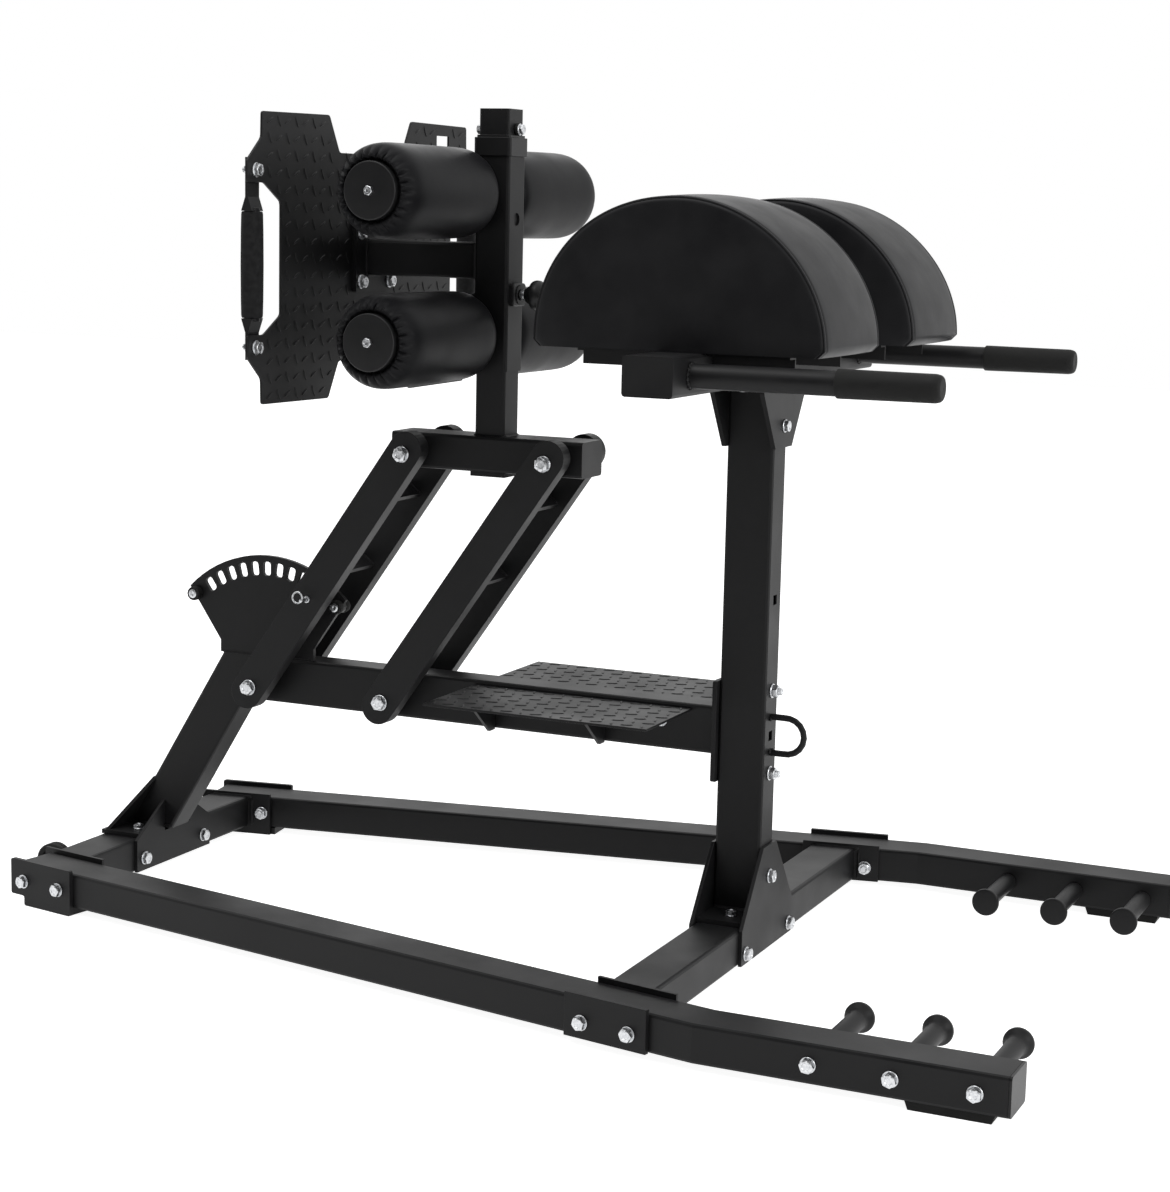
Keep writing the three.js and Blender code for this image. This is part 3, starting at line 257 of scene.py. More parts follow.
# End caps, feet and transport wheels: injection-moulded caps pushed into the rails, rubber feet
# screwed under their front ends, and hard rubber tyres on plastic hubs behind the rear tube.

def moulded_plastic_finish():
    material, tree, shader = finish_start("black_plastic", 0.42, specular=0.25)
    grain = speckle(tree, 0.0009, detail=2)
    tree.links.new(shades(tree, speckle(tree, 0.05), (0.008, 0.008, 0.0085), (0.012, 0.012, 0.0125)),
                   shader.inputs["Base Color"])
    tree.links.new(between(tree, grain, 0.36, 0.48), shader.inputs["Roughness"])
    tree.links.new(relief(tree, grain, 0.00005, 0.6), shader.inputs["Normal"])
    return material


def rubber_finish():
    material, tree, shader = finish_start("black_rubber", 0.7, specular=0.2)
    dust = speckle(tree, 0.03, detail=5)
    tree.links.new(shades(tree, dust, (0.009, 0.009, 0.009), (0.016, 0.016, 0.0155)),
                   shader.inputs["Base Color"])
    tree.links.new(between(tree, dust, 0.6, 0.8), shader.inputs["Roughness"])
    tree.links.new(relief(tree, speckle(tree, 0.0012), 0.00012, 0.6), shader.inputs["Normal"])
    return material


plastic = moulded_plastic_finish()
rubber = rubber_finish()
coated(plastic, "right_rail_end_cap", "left_rail_end_cap")
coated(rubber, "right_front_foot", "left_front_foot")


def rounded(points, radius, steps=4):
    """An open outline of (across, along) points with its corners rounded off."""
    line = [Vector(p).to_2d() for p in points]
    out = [line[0]]
    for before, here, after in zip(line, line[1:], line[2:]):
        reach = min(radius, (before - here).length / 2.2, (after - here).length / 2.2)
        start = here + (before - here).normalized() * reach
        end = here + (after - here).normalized() * reach
        for i in range(steps + 1):
            t = i / steps
            out.append(start * (1 - t) ** 2 + here * 2 * t * (1 - t) + end * t ** 2)
    return out + [line[-1]]


def turned(form, profile, place, sides=40, closed=False):
    """Turns an outline of (radius, along) points about the Z of a place."""
    rings = []
    for radius, along in profile:
        if radius < 1e-6:
            rings.append([place @ Vector((0, 0, along))])
        else:
            rings.append([place @ Vector((radius * math.cos(a), radius * math.sin(a), along))
                          for a in np.linspace(0, 2 * math.pi, sides, endpoint=False)])
    return ring_join(form, rings, closed)


wheel_radius, wheel_half, wheel_bore = 0.032, 0.014, 0.0056
hub_radius, hub_boss_radius, hub_recess, tyre_round = 0.020, 0.010, 0.003, 0.004
for side, hand in ((-1, "right"), (1, "left")):
    low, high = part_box(f"{hand}_transport_wheel")
    middle = (low + high) / 2
    tyre = bmesh.new()
    half_profile = [(wheel_bore, wheel_half - 0.001), (hub_boss_radius, wheel_half - 0.001),
                    (hub_boss_radius + 0.0005, wheel_half - hub_recess),
                    (hub_radius, wheel_half - hub_recess), (hub_radius + 0.001, wheel_half),
                    (wheel_radius - tyre_round, wheel_half), (wheel_radius, wheel_half - tyre_round),
                    (wheel_radius, 0.0015), (wheel_radius - 0.0008, 0)]
    profile = half_profile + [(r, -y) for r, y in reversed(half_profile[:-1])]
    turned(tyre, rounded(profile, 0.0012, 2), facing(middle, (0, 1, 0)), 48, closed=True)
    wheel = piece(f"{hand}_wheel_tyre", tyre, rubber, f"{hand}_wheel")
    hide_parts(f"{hand}_transport_wheel")


# Hex bolts: zinc-plated M12 bolts and nuts on plain washers, which hold the clamp plates, pegs,
# gussets and flanges. Each head is chamfered and dished, each nut shows the end of its bolt.

def zinc_finish():
    material, tree, shader = finish_start("zinc", 0.3, metallic=1.0)
    bloom = speckle(tree, 0.004, detail=4)
    tree.links.new(shades(tree, bloom, (0.46, 0.47, 0.49), (0.66, 0.67, 0.68)), shader.inputs["Base Color"])
    tree.links.new(between(tree, bloom, 0.24, 0.4), shader.inputs["Roughness"])
    tree.links.new(relief(tree, speckle(tree, 0.0008), 0.00004, 0.5), shader.inputs["Normal"])
    return material


zinc = zinc_finish()
bolt_across, bolt_head_high, bolt_radius, thread_pitch = 0.019, 0.0075, 0.006, 0.0009
washer_radius, washer_thick, nut_high = 0.012, 0.0025, 0.0095


def hexagon(form, place, across, low, high, hole=0.0):
    """A hexagon head or nut between two heights, its corners chamfered at the outer end."""
    flat = across / 2
    angles = np.linspace(0, 2 * math.pi, 24, endpoint=False)
    reach = [flat / math.cos((a + math.pi / 6) % (math.pi / 3) - math.pi / 6) for a in angles]

    def ring(radii, heights):
        return [place @ Vector((r * math.cos(a), r * math.sin(a), z))
                for a, r, z in zip(angles, radii, heights)]
    drop = [(r - flat) * 0.55 for r in reach]
    tall = high - low
    rings = [ring(reach, [low] * 24),
             ring(reach, [high - d - tall * 0.06 for d in drop]),
             ring([flat * 0.94] * 24, [high] * 24),
             ring([max(flat * 0.62, hole)] * 24, [high] * 24)]
    if hole:
        rings.append(ring([hole] * 24, [high - 0.001] * 24))
        rings.append(ring([hole] * 24, [low] * 24))
    else:
        rings.append(ring([flat * 0.56] * 24, [high - tall * 0.1] * 24))
        rings.append([place @ Vector((0, 0, high - tall * 0.12))])
        rings.insert(0, [place @ Vector((0, 0, low))])
    ring_join(form, rings, closed_along=bool(hole))


def washer(form, place, radius, thick):
    """A plain washer with broken edges, on a place that looks out of the clamped face."""
    inner = bolt_radius * 0.9
    edge = [(inner, 0), (radius - 0.0004, 0), (radius, 0.0005), (radius, thick - 0.0006),
            (radius - 0.0006, thick), (inner, thick)]
    turned(form, edge, place, 32, closed=True)


def hex_bolt(form, at, out, scale=1.0, turn=0.4):
    """A bolt head on its washer, seated at a point and looking out."""
    place = facing(at, out, turn) @ Matrix.Scale(scale, 4)
    washer(form, place, washer_radius, washer_thick)
    hexagon(form, place, bolt_across, washer_thick * 0.9, washer_thick + bolt_head_high)


def hex_nut(form, at, out, scale=1.0, turn=0.2, thread=0.005):
    """A nut on its washer, with so much of the bolt's thread standing out of it."""
    place = facing(at, out, turn) @ Matrix.Scale(scale, 4)
    washer(form, place, washer_radius, washer_thick)
    top = washer_thick + nut_high
    hexagon(form, place, bolt_across, washer_thick * 0.9, top, hole=bolt_radius)
    screw = [(0, washer_thick)]
    steps = int((top + thread) / thread_pitch)
    for i in range(steps):
        screw.append((bolt_radius * (0.9 if i % 2 else 0.985), washer_thick + i * thread_pitch))
    screw += [(bolt_radius * 0.8, top + thread), (0, top + thread)]
    turned(form, screw, place, 20)


clamp_out = 0.0483
rear_clamp_bolt_z, front_clamp_bolt_z = 0.0426, 0.038
# Along the rail from the post: both bolts of the front clamp plate, then of the rear one
front_clamp_bolts = ((-0.0309, front_clamp_bolt_z), (0.0509, front_clamp_bolt_z))
rear_clamp_bolts = ((-1.1893, rear_clamp_bolt_z), (-1.1066, rear_clamp_bolt_z))
coated(powder_coat, "right_front_clamp_plate", "left_front_clamp_plate",
       "right_rear_clamp_plate", "left_rear_clamp_plate")
for side, hand in ((-1, "right"), (1, "left")):
    outward = Vector((-math.sin(rail_toe), side * math.cos(rail_toe), 0))
    bolts = bmesh.new()
    for x, z in front_clamp_bolts + rear_clamp_bolts:
        hex_bolt(bolts, rail_point(post_x + x, clamp_out, z, side), outward, turn=x * 9)
    for x, z in (front_clamp_bolts[1], rear_clamp_bolts[1]):
        hex_nut(bolts, rail_point(post_x + x, -end_plate_in, z, side), -outward)
    piece(f"{hand}_clamp_bolts", bolts, zinc, "frame")


# Band pegs: three a side, turned steel pegs with a flared disc that keeps the bands on, each
# bolted through the rail from outside.

peg_radius, peg_disc_radius, peg_disc_thick, peg_flare, peg_round = 0.015, 0.0235, 0.009, 0.012, 0.003
for side, hand in ((-1, "right"), (1, "left")):
    bolts = bmesh.new()
    for place in ("rear", "middle", "front"):
        low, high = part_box(f"{hand}_{place}_band_peg")
        root = Vector(((low.x + high.x) / 2, low.y if side < 0 else high.y, (low.z + high.z) / 2))
        long = high.y - low.y
        profile = rounded([(0, 0), (peg_radius, 0), (peg_radius, long - peg_disc_thick - peg_flare),
                           (peg_radius + 0.002, long - peg_disc_thick - peg_flare / 2),
                           (peg_disc_radius - 0.001, long - peg_disc_thick),
                           (peg_disc_radius, long - peg_disc_thick + 0.002),
                           (peg_disc_radius, long), (0, long)], peg_round)
        peg = bmesh.new()
        turned(peg, profile, facing(root, (0, -side, 0)))
        made = piece(f"{hand}_{place}_peg", peg, powder_coat, "frame")
        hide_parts(f"{hand}_{place}_band_peg")
        hex_bolt(bolts, (root.x, side * (rail_centre_y + tube_half), root.z), (0, side, 0),
                 turn=root.x * 7)
    piece(f"{hand}_peg_bolts", bolts, zinc, "frame")


# Rear strut and beam: the strut leans forward from the rear crossmember on a welded base plate
# with gussets, and carries the rear end of the beam, whose front end is bolted to the post.

coated(powder_coat, "rear_strut", "strut_gusset", "beam")
beam_top, beam_bottom = 0.417, 0.337
strut_lean = math.radians(31.2)
strut_foot_x = post_x - 1.156
base_top = 0.0813
strut_edge = tube_half / math.cos(strut_lean)
gusset_out = 0.0063
cross_bolt_y, cross_bolt_z, strut_bolt_y = 0.095, 0.036, 0.070
gusset_face_x = rear_cross_x + tube_half + gusset_out
beam_end_x = post_x - 0.0485


def strut_x(z):
    return strut_foot_x + (z - rail_top) * math.tan(strut_lean)


frame_bolts = bmesh.new()
for way in (-1, 1):
    hex_bolt(frame_bolts, (gusset_face_x, way * cross_bolt_y, cross_bolt_z), (1, 0, 0))
    hex_bolt(frame_bolts, (strut_foot_x + 0.006, way * strut_bolt_y, base_top), (0, 0, 1), 0.85)
piece("strut_bolts", frame_bolts, zinc, "frame")
welds = bmesh.new()
for way in (-1, 1):
    weld_bead(welds, (strut_x(base_top) - strut_edge, way * tube_narrow_half, base_top),
              (strut_x(base_top) + strut_edge, way * tube_narrow_half, base_top))
    weld_bead(welds, (strut_x(beam_bottom) + strut_edge, way * tube_narrow_half, beam_bottom),
              (strut_x(beam_top) + strut_edge, way * tube_narrow_half, beam_top))
    weld_bead(welds, (beam_end_x, way * tube_narrow_half, beam_bottom + weld_end),
              (beam_end_x, way * tube_narrow_half, beam_top - weld_end))
piece("strut_welds", welds, powder_coat, "frame")


# Sector plate: laser-cut plate welded on the beam, with eleven slots for the lock pin and a
# rubber bumper on each face at both ends of the travel, bolted through the plate.

pivot = Vector((post_x - 0.905, 0, 0.371))
stop_radius, stop_angle, bumper_reach, bumper_radius = 0.208, math.radians(44.5), 0.018, 0.012
sector_y, sector_half_thick = -0.022, 0.004
stop_head_radius, socket_radius, sector_foot_half = 0.0082, 0.0030, 0.090
coated(powder_coat, "sector_plate")
bumpers, stop_bolts, welds = bmesh.new(), bmesh.new(), bmesh.new()
for angle in (-stop_angle, stop_angle):
    for way in (-1, 1):
        at = pivot + Vector((stop_radius * math.sin(angle), sector_y + way * sector_half_thick,
                             stop_radius * math.cos(angle)))
        long = bumper_reach - sector_half_thick
        profile = rounded([(0, 0), (bumper_radius + 0.0004, 0), (bumper_radius + 0.0004, long),
                           (0, long + 0.0003)], 0.003)
        turned(bumpers, profile, facing(at, (0, way, 0)))
        head = rounded([(0, long - 0.001), (stop_head_radius, long - 0.001),
                        (stop_head_radius - 0.0004, long + 0.0018), (socket_radius + 0.0004, long + 0.0024),
                        (socket_radius, long + 0.0008), (0, long + 0.0008)], 0.0008, 2)
        turned(stop_bolts, head, facing(at, (0, way, 0)), 32)
piece("sector_bumpers", bumpers, rubber, "frame")
piece("sector_bolts", stop_bolts, zinc, "frame")
for way in (-1, 1):
    face_y = sector_y + way * sector_half_thick
    weld_bead(welds, (pivot.x - sector_foot_half, face_y, beam_top),
              (pivot.x + sector_foot_half, face_y, beam_top))
piece("sector_welds", welds, powder_coat, "frame")


# Steps: tread plate with raised lozenges, one on each side of the beam, on two flat brackets.

lozenge_long, lozenge_wide, lozenge_high, lozenge_pitch = 0.023, 0.0062, 0.0013, 0.0262


def lozenge(form, centre, along, out):
    """One raised lens of a tread plate, lying along a direction on a face that looks out."""
    along, out = Vector(along).normalized(), Vector(out)
    across = out.cross(along)
    sunk = -0.0004
    rim, shoulder = [], []
    for i in range(16):
        a = 2 * math.pi * i / 16
        u = math.cos(a)
        v = math.sin(a) * (1 - 0.35 * u * u)
        rim.append(centre + along * u * lozenge_long / 2 + across * v * lozenge_wide / 2 + out * sunk)
        shoulder.append(centre + along * u * lozenge_long * 0.37 + across * v * lozenge_wide * 0.28
                        + out * lozenge_high * 0.82)
    ring_join(form, [[centre + out * sunk], rim, shoulder, [centre + out * lozenge_high]])


def tread(form, centres, out, first, second):
    """Lozenges on a checkerboard of places, turned by turns along two directions."""
    for place, odd in centres:
        lozenge(form, Vector(place), first if odd else second, out)


step_names = ("right_step_plate", "left_step_plate")
coated(powder_coat, *step_names)
for side, hand in ((-1, "right"), (1, "left")):
    low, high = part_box(f"{hand}_step_plate")
    wide, long = high.y - low.y, high.x - low.x
    across_count, along_count = int(wide / lozenge_pitch), int(long / lozenge_pitch)
    centres = []
    for i in range(along_count):
        for j in range(across_count):
            x = low.x + (i + 0.5) * long / along_count
            y = low.y + (j + 0.5) * wide / across_count
            centres.append(((x, y, high.z), (i + j) % 2))
    plate_tread = bmesh.new()
    tread(plate_tread, centres, (0, 0, 1), (1, 0.35, 0), (0.35, -1, 0))
    piece(f"{hand}_step_tread", plate_tread, powder_coat, "frame")


# Main post: a box tube on a base plate between two folded gussets, with a head plate and head
# gussets under the crossbar, and a round bar bent to a ring for bands welded on its front.

coated(powder_coat, "main_post", "front_post_gusset", "rear_post_gusset", "band_ring")
post_face = post_x + tube_half
head_plate_z, head_bolt_y, head_gusset_out, head_gusset_bolt_z = 0.9437, 0.066, 0.046, 0.880
base_bolt_ahead, base_bolt_y = 0.007, 0.068
step_bolt_behind, step_bolt_z = 0.141, 0.385
gusset_bolts = (-0.1, 0.031), (0.1, 0.031), (0, 0.137)
beam_plate_x, beam_bolt_heights = post_x - 0.0483, (0.447, 0.3095)
ring_ends = (0.398, 0.404), (0.344, 0.350)
post_bolts = bmesh.new()
for way in (-1, 1):
    face = post_x + way * (tube_half + gusset_out)
    for y, z in gusset_bolts:
        hex_bolt(post_bolts, (face, y, z), (way, 0, 0))
    hex_bolt(post_bolts, (post_x + way * head_gusset_out, 0, head_gusset_bolt_z), (way, 0, 0), 0.9)
    hex_bolt(post_bolts, (post_x + base_bolt_ahead, way * base_bolt_y, base_top), (0, 0, 1), 0.85)
    hex_bolt(post_bolts, (post_x, way * head_bolt_y, head_plate_z), (0, 0, -1), 0.8)
for z in beam_bolt_heights:
    hex_nut(post_bolts, (post_face, 0, z), (1, 0, 0))
    hex_bolt(post_bolts, (beam_plate_x, 0, z), (-1, 0, 0))
for way in (-1, 1):
    hex_bolt(post_bolts, (post_x - step_bolt_behind, way * tube_narrow_half, step_bolt_z), (0, way, 0), 0.9)
piece("post_bolts", post_bolts, zinc, "frame")

welds = bmesh.new()
for way in (-1, 1):
    weld_bead(welds, (post_x - tube_half, way * tube_narrow_half, base_top),
              (post_x + tube_half, way * tube_narrow_half, base_top))
    weld_bead(welds, (post_x - tube_half, way * tube_narrow_half, head_plate_z),
              (post_x + tube_half, way * tube_narrow_half, head_plate_z))
    for low_z, high_z in ring_ends:
        weld_bead(welds, (post_face + 0.002, way * 0.007, high_z), (post_face + 0.002, way * 0.007, low_z))
piece("post_welds", welds, powder_coat, "frame")


# Crossbar: a box tube with welded ends and angle bars for the pads. A round handle tube stands
# forward near each end, with a moulded rubber grip pushed on.

coated(powder_coat, "crossbar")
handle_radius, grip_radius = 0.0185, 0.021
grip_rear_x, handle_front_x = post_x + 0.264, post_x + 0.418
crossbar_middle_z, handle_y = 0.980, 0.390
for side, hand in ((-1, "right"), (1, "left")):
    root = Vector((post_face + 0.0003, side * handle_y, crossbar_middle_z))
    tube_long = handle_front_x - 0.006 - root.x
    wall = 0.003
    tube = bmesh.new()
    turned(tube, [(handle_radius - wall, 0), (handle_radius, 0), (handle_radius, tube_long),
                  (handle_radius - wall, tube_long)], facing(root, (1, 0, 0)), 48, closed=True)
    made = piece(f"{hand}_handle_tube", tube, powder_coat, "frame")
    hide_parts(f"{hand}_handle")
    ring_weld = bmesh.new()
    spots = [root + Vector((0.001, handle_radius * math.cos(a), handle_radius * math.sin(a)))
             for a in np.linspace(0, 2 * math.pi, 17)]
    for near, far in zip(spots, spots[1:]):
        weld_bead(ring_weld, near, far)
    piece(f"{hand}_handle_weld", ring_weld, powder_coat, "frame")

    long = handle_front_x - grip_rear_x
    outline = rounded([(handle_radius + 0.0003, 0), (grip_radius + 0.0003, 0),
                       (grip_radius + 0.0004, 0.006), (grip_radius, 0.060),
                       (grip_radius - 0.0003, long - 0.010),
                       (grip_radius - 0.002, long - 0.003), (grip_radius - 0.005, long), (0, long),
                       (0, long - 0.004), (handle_radius + 0.0003, long - 0.004)], 0.002, 3)
    sheath = bmesh.new()
    turned(sheath, outline, facing((grip_rear_x, root.y, root.z), (1, 0, 0)), 48, closed=True)
    made = piece(f"{hand}_rubber_grip", sheath, rubber, "frame")
    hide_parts(f"{hand}_handle_grip")


# Thigh pads: a half-moon foam block on a board, in stretched black vinyl. The side panels are
# sewn to the band that runs over the top, with the seam turned in all round the rim.

def vinyl_finish(name, shine):
    material, tree, shader = finish_start(name, 0.45, specular=shine)
    grain = tree.nodes.new("ShaderNodeTexVoronoi")
    place = tree.nodes.new("ShaderNodeTexCoord")
    grain.feature = "SMOOTH_F1"
    grain.inputs["Scale"].default_value = 1 / 0.0019
    grain.inputs["Smoothness"].default_value = 0.6
    tree.links.new(place.outputs["Object"], grain.inputs["Vector"])
    soft = speckle(tree, 0.07, detail=3)
    tree.links.new(shades(tree, soft, (0.0085, 0.0085, 0.0095), (0.0125, 0.0125, 0.0135)),
                   shader.inputs["Base Color"])
    tree.links.new(between(tree, soft, 0.4, 0.5), shader.inputs["Roughness"])
    creases = relief(tree, speckle(tree, 0.02, detail=3), 0.0003, 0.35)
    tree.links.new(relief(tree, grain.outputs["Distance"], 0.00014, 0.4, below=creases),
                   shader.inputs["Normal"])
    return material


vinyl = vinyl_finish("black_vinyl", 0.16)
pad_half_long, pad_high, pad_lower_edge = 0.233, 0.228, 0.010
pad_rear_power, pad_front_power = 2.15, 1.9
pad_steps, pad_base_steps = 96, 40


def moon(inset, across):
    """The half-moon outline drawn in by an inset, at a place across the pad."""
    points = []
    for i in range(pad_steps + 1):
        a = math.pi * i / pad_steps
        power = pad_front_power if 2 * i < pad_steps else pad_rear_power
        ahead = math.copysign(abs(math.cos(a)) ** (2 / power), math.cos(a))
        rise = max(math.sin(a), 0) ** (2 / power)
        points.append((ahead * (pad_half_long - inset),
                       across, pad_lower_edge + rise * (pad_high - pad_lower_edge - inset)))
    flat = pad_half_long - inset - pad_lower_edge
    for i in range(pad_base_steps + 1):
        points.append((flat * (2 * i / pad_base_steps - 1), across, 0.0))
    return points


for side, hand in ((-1, "right"), (1, "left")):
    low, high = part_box(f"{hand}_thigh_pad")
    half_wide = 0.1275
    centre = Vector(((low.x + high.x) / 2, (low.y + high.y) / 2, low.z))
    section = [(0.090, half_wide + 0.0020), (0.070, half_wide + 0.0026), (0.048, half_wide + 0.0028),
               (0.030, half_wide + 0.0022), (0.016, half_wide + 0.0014), (0.008, half_wide + 0.0006),
               (0.0045, half_wide - 0.0004), (0.0028, half_wide - 0.0022), (0.0016, half_wide - 0.0012),
               (0.0002, half_wide - 0.0016), (-0.0006, half_wide - 0.0038), (-0.0002, half_wide - 0.006),
               (0.0012, half_wide - 0.0076), (-0.0004, half_wide - 0.010), (-0.0012, half_wide - 0.016),
               (-0.0018, half_wide - 0.030), (-0.0026, half_wide - 0.055), (-0.0036, half_wide - 0.085),
               (-0.004, half_wide - 0.110), (-0.004, 0.006)]
    rings = [moon(inset, -across) for inset, across in section]
    rings += [moon(inset, across) for inset, across in reversed(section)]
    shape = bmesh.new()
    placed = [[centre + Vector(p) for p in ring] for ring in rings]
    rows = ring_join(shape, placed)
    for row in (rows[0], rows[-1]):
        middle = sum((v.co for v in row), Vector()) / len(row)
        hub = shape.verts.new(middle)
        for near, far in zip(row, row[1:] + row[:1]):
            shape.faces.new((near, far, hub))
    made = piece(f"{hand}_pad", shape, vinyl, "frame", crease=70)
    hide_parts(f"{hand}_thigh_pad")


# Links: two pairs of flat arms tied by spacer plates swing on M12 pivot bolts and carry the
# roller post level. A spring pin with a pull ring, in the rear link's right arm, drops into the
# sector's slots.

coated(powder_coat, "rear_link", "front_link")
arm_inner_y, arm_outer_y = 0.057, 0.085
link_tilt = math.radians(35)
link_up = Vector((math.sin(link_tilt), 0, math.cos(link_tilt)))
link_ahead = Vector((math.cos(link_tilt), 0, -math.sin(link_tilt)))
swing = link_up * 0.525
link_pitch = Vector((0.264, 0, 0))
pivot_bodies = (("rear_lower_pivot_bolt", pivot, "frame"),
                ("front_lower_pivot_bolt", pivot + link_pitch, "frame"),
                ("rear_upper_pivot_bolt", pivot + swing, "carriage"),
                ("front_upper_pivot_bolt", pivot + link_pitch + swing, "carriage"))
for name, at, body in pivot_bodies:
    shank = bmesh.new()
    reach = arm_outer_y + 0.0003
    turned(shank, [(0, -reach), (bolt_radius, -reach), (bolt_radius, reach), (0, reach)],
           facing(at, (0, 1, 0)), 32)
    hex_bolt(shank, at + Vector((0, -reach, 0)), (0, -1, 0), 1.15, turn=at.x * 5)
    hex_nut(shank, at + Vector((0, reach, 0)), (0, 1, 0), 1.15, thread=0.0)
    made = piece(name.replace("_bolt", "_screw"), shank, zinc, body)
    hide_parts(name)

spacer_half_thick, spacer_heights, spacer_weld_half = 0.004, (0.270, 0.432), 0.015
for name, foot in (("rear_link", pivot), ("front_link", pivot + link_pitch)):
    welds = bmesh.new()
    for height in spacer_heights:
        for way in (-1, 1):
            for face in (-spacer_half_thick, spacer_half_thick):
                at = foot + link_up * (height + face) + Vector((0, way * arm_inner_y, 0))
                weld_bead(welds, at - link_ahead * spacer_weld_half, at + link_ahead * spacer_weld_half)
    piece(f"{name}_welds", welds, powder_coat, name)

pin_at = pivot + link_up * 0.2035
pin = bmesh.new()
pin_out, pin_in, pin_radius = 0.0856, 0.0266, 0.006
pin_long, socket_deep = pin_out - pin_in, 0.006
turned(pin, rounded([(0, 0), (pin_radius - 0.001, 0), (pin_radius, 0.001), (pin_radius, pin_long),
                     (0.0036, pin_long), (0.0033, pin_long - socket_deep), (0, pin_long - socket_deep)],
                    0.0005, 2), facing(pin_at + Vector((0, -pin_in, 0)), (0, -1, 0)), 32)
made = piece("lock_pin_rod", pin, zinc, "lock_pin")
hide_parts("lock_pin")
pull_radius, pull_wire, pull_sides = 0.0095, 0.0016, 10
stem_out, stem_radius = pin_out + 0.0195, 0.0032
pull_middle = pin_at + Vector((-0.0080, 0.0030 - stem_out, 0.0048))
pull = bmesh.new()
stem = [(0, pin_out - 0.001), (stem_radius, pin_out - 0.001), (stem_radius, stem_out), (0, stem_out)]
turned(pull, rounded(stem, 0.001, 2), facing(pin_at, (0, -1, 0)), 24)
rings = []
for a in np.linspace(0, 2 * math.pi, 40, endpoint=False):
    out = Vector((math.cos(a), 0.06 * math.sin(a), math.sin(a))).normalized()
    rings.append([pull_middle + out * (pull_radius + pull_wire * math.cos(b))
                  + Vector((0, pull_wire * math.sin(b), 0))
                  for b in np.linspace(0, 2 * math.pi, pull_sides, endpoint=False)])
ring_join(pull, rings, closed_along=True)
piece("lock_pin_pull", pull, zinc, "lock_pin")


# Carriage and roller post: a box tube on the links, with the square post standing through it.
# A bolt through the post near its top, on two rubber washers, stops the sleeve.

coated(powder_coat, "carriage")
roller_post_x = post_x - 0.469
roller_post_half = 0.0275
carriage_top = 0.83506
stop_low, stop_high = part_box("travel_stop_bolt")
stop_z = (stop_low.z + stop_high.z) / 2
stop = bmesh.new()
seat = roller_post_half + 0.0003
cushion_thick = 0.006
bolt_seat = seat + cushion_thick
turned(stop, [(0, -bolt_seat), (0.005, -bolt_seat), (0.005, bolt_seat), (0, bolt_seat)],
       facing((roller_post_x, 0, stop_z), (1, 0, 0)), 24)
hex_bolt(stop, (roller_post_x + bolt_seat, 0, stop_z), (1, 0, 0), 0.8)
hex_nut(stop, (roller_post_x - bolt_seat, 0, stop_z), (-1, 0, 0), 0.75, thread=0.0)
made = piece("travel_stop_screw", stop, zinc, "carriage")
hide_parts("travel_stop_bolt")
cushions = bmesh.new()
cushion = rounded([(0.0052, 0), (0.0098, 0), (0.0102, cushion_thick / 2), (0.0098, cushion_thick),
                   (0.0052, cushion_thick)], 0.0012, 2)
for way in (-1, 1):
    turned(cushions, cushion, facing((roller_post_x + way * seat, 0, stop_z), (way, 0, 0)), 32,
           closed=True)
piece("travel_stop_cushions", cushions, rubber, "carriage")
welds = bmesh.new()
for way in (-1, 1):
    weld_bead(welds, (roller_post_x - roller_post_half, way * roller_post_half, carriage_top),
              (roller_post_x + roller_post_half, way * roller_post_half, carriage_top))
    weld_bead(welds, (roller_post_x + way * roller_post_half, -roller_post_half, carriage_top),
              (roller_post_x + way * roller_post_half, roller_post_half, carriage_top))
piece("carriage_welds", welds, powder_coat, "carriage")


# Sleeve: a square tube that slides on the post, with a plastic guide collar, the arm and flange
# for the foot plate, and the spring pin that sets the height, with its moulded pad and knob.

coated(powder_coat, "sleeve")
coated(plastic, "sleeve_guide")
flange_front_x, flange_rear_x = post_x - 0.7057, post_x - 0.718
flange_bolt_y, flange_bolt_heights = 0.049, (1.086, 1.168)
flange_bolts = bmesh.new()
for y in (-flange_bolt_y, flange_bolt_y):
    for z in flange_bolt_heights:
        hex_bolt(flange_bolts, (flange_front_x, y, z), (1, 0, 0))
        hex_nut(flange_bolts, (flange_rear_x, y, z), (-1, 0, 0), 0.9)
piece("flange_bolts", flange_bolts, zinc, "slider")
welds = bmesh.new()
sleeve_half, arm_half, arm_middle_z = 0.031, 0.030, 1.1265
arm_front_x, sleeve_front_x = roller_post_x - sleeve_half, roller_post_x + sleeve_half
arm_low_z, arm_high_z = arm_middle_z - arm_half, arm_middle_z + arm_half
for way in (-1, 1):
    weld_bead(welds, (flange_front_x, way * arm_half, arm_low_z),
              (flange_front_x, way * arm_half, arm_high_z))
    weld_bead(welds, (flange_front_x, -arm_half, arm_middle_z + way * arm_half),
              (flange_front_x, arm_half, arm_middle_z + way * arm_half))
    weld_bead(welds, (arm_front_x, way * arm_half, arm_low_z), (arm_front_x, way * arm_half, arm_high_z))
piece("sleeve_welds", welds, powder_coat, "slider")

